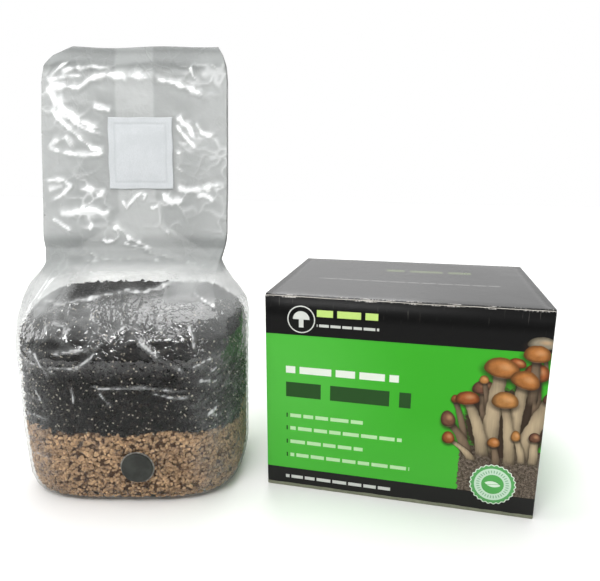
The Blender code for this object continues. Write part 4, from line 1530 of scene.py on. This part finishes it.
# %% Grain layer
shape = filled_body(
    FILL_TABLE, lambda s: np.full_like(s, GRAIN_FOOT + 0.0009), lambda s: layer_line(s) - 0.0006,
    0.0027, 0.0007, 2.0
)
SEEDS = 9000
places, outs = wall_scatter(
    FILL_TABLE, SEEDS, lambda s: np.full_like(s, GRAIN_FOOT + 0.0016),
    lambda s: layer_line(s) + rng.normal(0, 0.0006, len(s)), 0.0008, 0.0004
)
scatter(
    shape, places, outs, rng.uniform(0.0010, 0.00150, SEEDS), (1.35, 1.0, 0.75),
    np.clip(rng.normal(0.52, 0.27, SEEDS), 0.03, 0.98)
)
grain = piece_from(shape, "grain_layer", [grain_material], "kit", nodes=["grain"])
print("grain:", len(grain.data.polygons), "faces")

# %% Substrate layer
shape = filled_body(
    FILL_TABLE, lambda s: layer_line(s) - 0.0002, lambda s: np.full_like(s, HEAP_TOP - 0.0035), 0.0026,
    0.0012, 5.0
)
CRUMBS, TOP_CRUMBS, SPECKS = 5000, 1600, 2400
places, outs = wall_scatter(
    FILL_TABLE, CRUMBS, lambda s: layer_line(s) - np.abs(rng.normal(0, 0.0009, len(s))),
    lambda s: np.full_like(s, HEAP_TOP - 0.002), 0.0008, 0.0007
)
scatter(
    shape, places, outs, rng.uniform(0.0007, 0.0021, CRUMBS), (1.2, 0.9, 0.75),
    np.clip(rng.beta(1.0, 3.4, CRUMBS), 0.0, 0.84)
)
spread = np.sqrt(rng.uniform(0, 1, TOP_CRUMBS))
share = rng.uniform(0, 1, TOP_CRUMBS)
u, v = wall_point(FILL_TABLE, share, HEAP_TOP, 0.001)
middle = [(FILL_TABLE[-1, 1] + FILL_TABLE[-1, 2]) / 2, (FILL_TABLE[-1, 3] + FILL_TABLE[-1, 4]) / 2]
tops = np.stack(
    [
        middle[0] + (u - middle[0]) * spread, middle[1] + (v - middle[1]) * spread,
        np.full(TOP_CRUMBS, HEAP_TOP - 0.0035)
    ],
    axis=1
)
scatter(
    shape, tops, np.tile([0.0, 0.0, 1.0], (TOP_CRUMBS, 1)), rng.uniform(0.0008, 0.0021, TOP_CRUMBS),
    (1.2, 0.9, 0.75), np.clip(rng.beta(1.0, 3.4, TOP_CRUMBS), 0.0, 0.84)
)
places, outs = wall_scatter(
    FILL_TABLE, SPECKS, lambda s: layer_line(s), lambda s: np.full_like(s, HEAP_TOP - 0.002), -0.0008,
    0.0003
)
scatter(
    shape, places, outs, rng.uniform(0.0003, 0.0008, SPECKS), (1.4, 0.8, 0.6),
    rng.uniform(0.86, 1.0, SPECKS)
)
substrate = piece_from(
    shape, "substrate_layer", [substrate_material], "kit", nodes=["substrate"]
)
print("substrate:", len(substrate.data.polygons), "faces")

# %% [markdown]
# ## Breather patch
#
# A square of white nonwoven is welded to the film high on the front. Its margin is pressed flat
# and thin, with a line of weld round it, and the middle is a little raised. It is a grid that
# follows the film's front, with the weld pressed in, given its thickness by Solidify.

# %% Patch
patch_material = new_material("nonwoven_patch")
tree = patch_material.node_tree
place = object_place(tree)
fibres = noise_node(
    vector_node("MULTIPLY", place, (1.0, 1.0, 0.5)), 1300.0, detail=5.0, roughness=0.75, distortion=1.5
)
blotch = noise_node(place, 70.0, detail=3.0)
pressed = attribute(tree, "pressed")
tone = colour_mix(fade(fibres, 0.3, 0.7), (0.55, 0.575, 0.59), (0.66, 0.68, 0.70))
tone = colour_mix(fade(blotch, 0.4, 0.65, 0.0, 0.35), tone, (0.52, 0.55, 0.56))
tone = colour_mix(times(pressed, 0.4), tone, (0.46, 0.49, 0.50))
finish_material(
    principled(
        tree, Base_Color=tone, Roughness=fade(fibres, 0.2, 0.8, 0.65, 0.9),
        Normal=bump_node(fibres, 0.35, 0.0002)
    )
)
PATCH_HALF = ((PATCH_U[1] - PATCH_U[0]) / 2, (PATCH_Z[1] - PATCH_Z[0]) / 2)
PATCH_MIDDLE = ((PATCH_U[1] + PATCH_U[0]) / 2, (PATCH_Z[1] + PATCH_Z[0]) / 2)
shape = bmesh.new()
bmesh.ops.create_grid(shape, x_segments=60, y_segments=70, size=0.5)
pressed_layer = shape.verts.layers.float.new("pressed")
for vert in shape.verts:
    a, b = vert.co.x * 2, vert.co.y * 2
    waver = 0.00025 * math.sin(b * 7.0) * abs(a) + 0.0002 * math.sin(a * 6.0 + 1.0) * abs(b)
    u_here = PATCH_MIDDLE[0] + a * PATCH_HALF[0] + waver
    z_here = PATCH_MIDDLE[1] + b * PATCH_HALF[1] + waver
    from_edge = min(PATCH_HALF[0] * (1 - abs(a)), PATCH_HALF[1] * (1 - abs(b)))
    weld = math.exp(-((from_edge - 0.0055) / 0.0008) ** 2)
    puff = 0.0005 * smooth(from_edge, 0.006, 0.016)
    ripple = 0.00012 * noise.noise(Vector((u_here, z_here, 0.3)) * 90.0)
    vert[pressed_layer] = weld
    v_here = float(extent(z_here, 3)) - 0.0008 - puff + 0.0003 * weld - ripple
    vert.co = FROM_BAG @ Vector((u_here, v_here, z_here))
bmesh.ops.recalc_face_normals(shape, faces=shape.faces)
if (FROM_BAG.to_3x3() @ Vector((0, -1, 0))).dot(list(shape.faces)[0].normal) < 0:
    bmesh.ops.reverse_faces(shape, faces=shape.faces)
patch = piece_from(
    shape, "breather_patch", [patch_material], "kit", nodes=["filter_patch"]
)
sheet = patch.modifiers.new("sheet", "SOLIDIFY")
sheet.thickness, sheet.offset = 0.00045, -1.0
print("patch", [round(2000 * x, 1) for x in PATCH_HALF], "mm")

# %% [markdown]
# ## Injection port and its adhesive ring
#
# Low on the front sits a soft rubber disc on a slightly larger clear adhesive disc. Both are
# turned shapes: half an outline is spun once round its axis, then carried to the port's place.

# %% Port
def turned(outline, steps):
    """Spin a half outline of (radius, height) points round Z into a closed shape."""
    shape = bmesh.new()
    verts = [shape.verts.new((radius, 0.0, height)) for radius, height in outline]
    edges = [shape.edges.new(pair) for pair in zip(verts, verts[1:])]
    bmesh.ops.spin(
        shape, geom=verts + edges, cent=(0, 0, 0), axis=(0, 0, 1), angle=math.tau, steps=steps,
        use_merge=True
    )
    bmesh.ops.remove_doubles(shape, verts=shape.verts, dist=0.000005)
    bmesh.ops.recalc_face_normals(shape, faces=shape.faces)
    return shape


def onto_port(shape, lift):
    place = Vector(MOUNTS["port_face"]["pos_m"]) + port_axis * lift
    shape.transform(Matrix.Translation(place) @ port_axis.to_track_quat("Z", "Y").to_matrix().to_4x4())


PORT_RADIUS, PORT_DEEP = 0.0125, 0.0022
port_outline = [(0.0, 0.0)] + [(0.0112 * i / 6, -0.00012 * math.sin(i * 0.9)) for i in range(1, 7)]
port_outline += [
    (0.0119, -0.0002), (0.01235, -0.0006), (PORT_RADIUS, -0.0011), (PORT_RADIUS, -PORT_DEEP + 0.0001),
    (0.0, -PORT_DEEP + 0.0001)
]
rubber = new_material("black_rubber_port")
tree = rubber.node_tree
place = object_place(tree)
grit = noise_node(place, 1500.0, detail=4.0, roughness=0.7)
bloom = noise_node(place, 110.0, detail=3.0)
tone = colour_mix(fade(bloom, 0.35, 0.65), (0.026, 0.028, 0.024), (0.042, 0.045, 0.040))
finish_material(
    principled(
        tree, Base_Color=tone, Roughness=fade(grit, 0.3, 0.7, 0.42, 0.62), Specular_IOR_Level=0.25,
        Normal=bump_node(grit, 0.3, 0.0002)
    )
)
shape = turned(port_outline, 96)
onto_port(shape, 0.0)
piece_from(shape, "injection_port_disc", [rubber], "kit", nodes=["injection_port"])

ADHESIVE_RADIUS = 0.0136
ring_outline = [
    (0.0, 0.0), (0.0125, 0.0), (0.0132, -0.00005), (ADHESIVE_RADIUS, -0.00018),
    (ADHESIVE_RADIUS, -0.00034), (0.0, -0.00036)
]
adhesive = new_material("adhesive_ring")
tree = adhesive.node_tree
place = object_place(tree)
bubbles = noise_node(place, 600.0, detail=3.0)
tone = colour_mix(fade(bubbles, 0.4, 0.7), (0.16, 0.15, 0.13), (0.30, 0.29, 0.26))
finish_material(
    principled(
        tree, Base_Color=tone, Roughness=fade(bubbles, 0.3, 0.7, 0.25, 0.45),
        Normal=bump_node(bubbles, 0.4, 0.0002)
    )
)
shape = turned(ring_outline, 96)
onto_port(shape, -PORT_DEEP - 0.00005)
piece_from(shape, "port_adhesive_ring", [adhesive], "kit", nodes=["port_adhesive"])
print("port and ring at", [round(x, 4) for x in MOUNTS["port_face"]["pos_m"]])
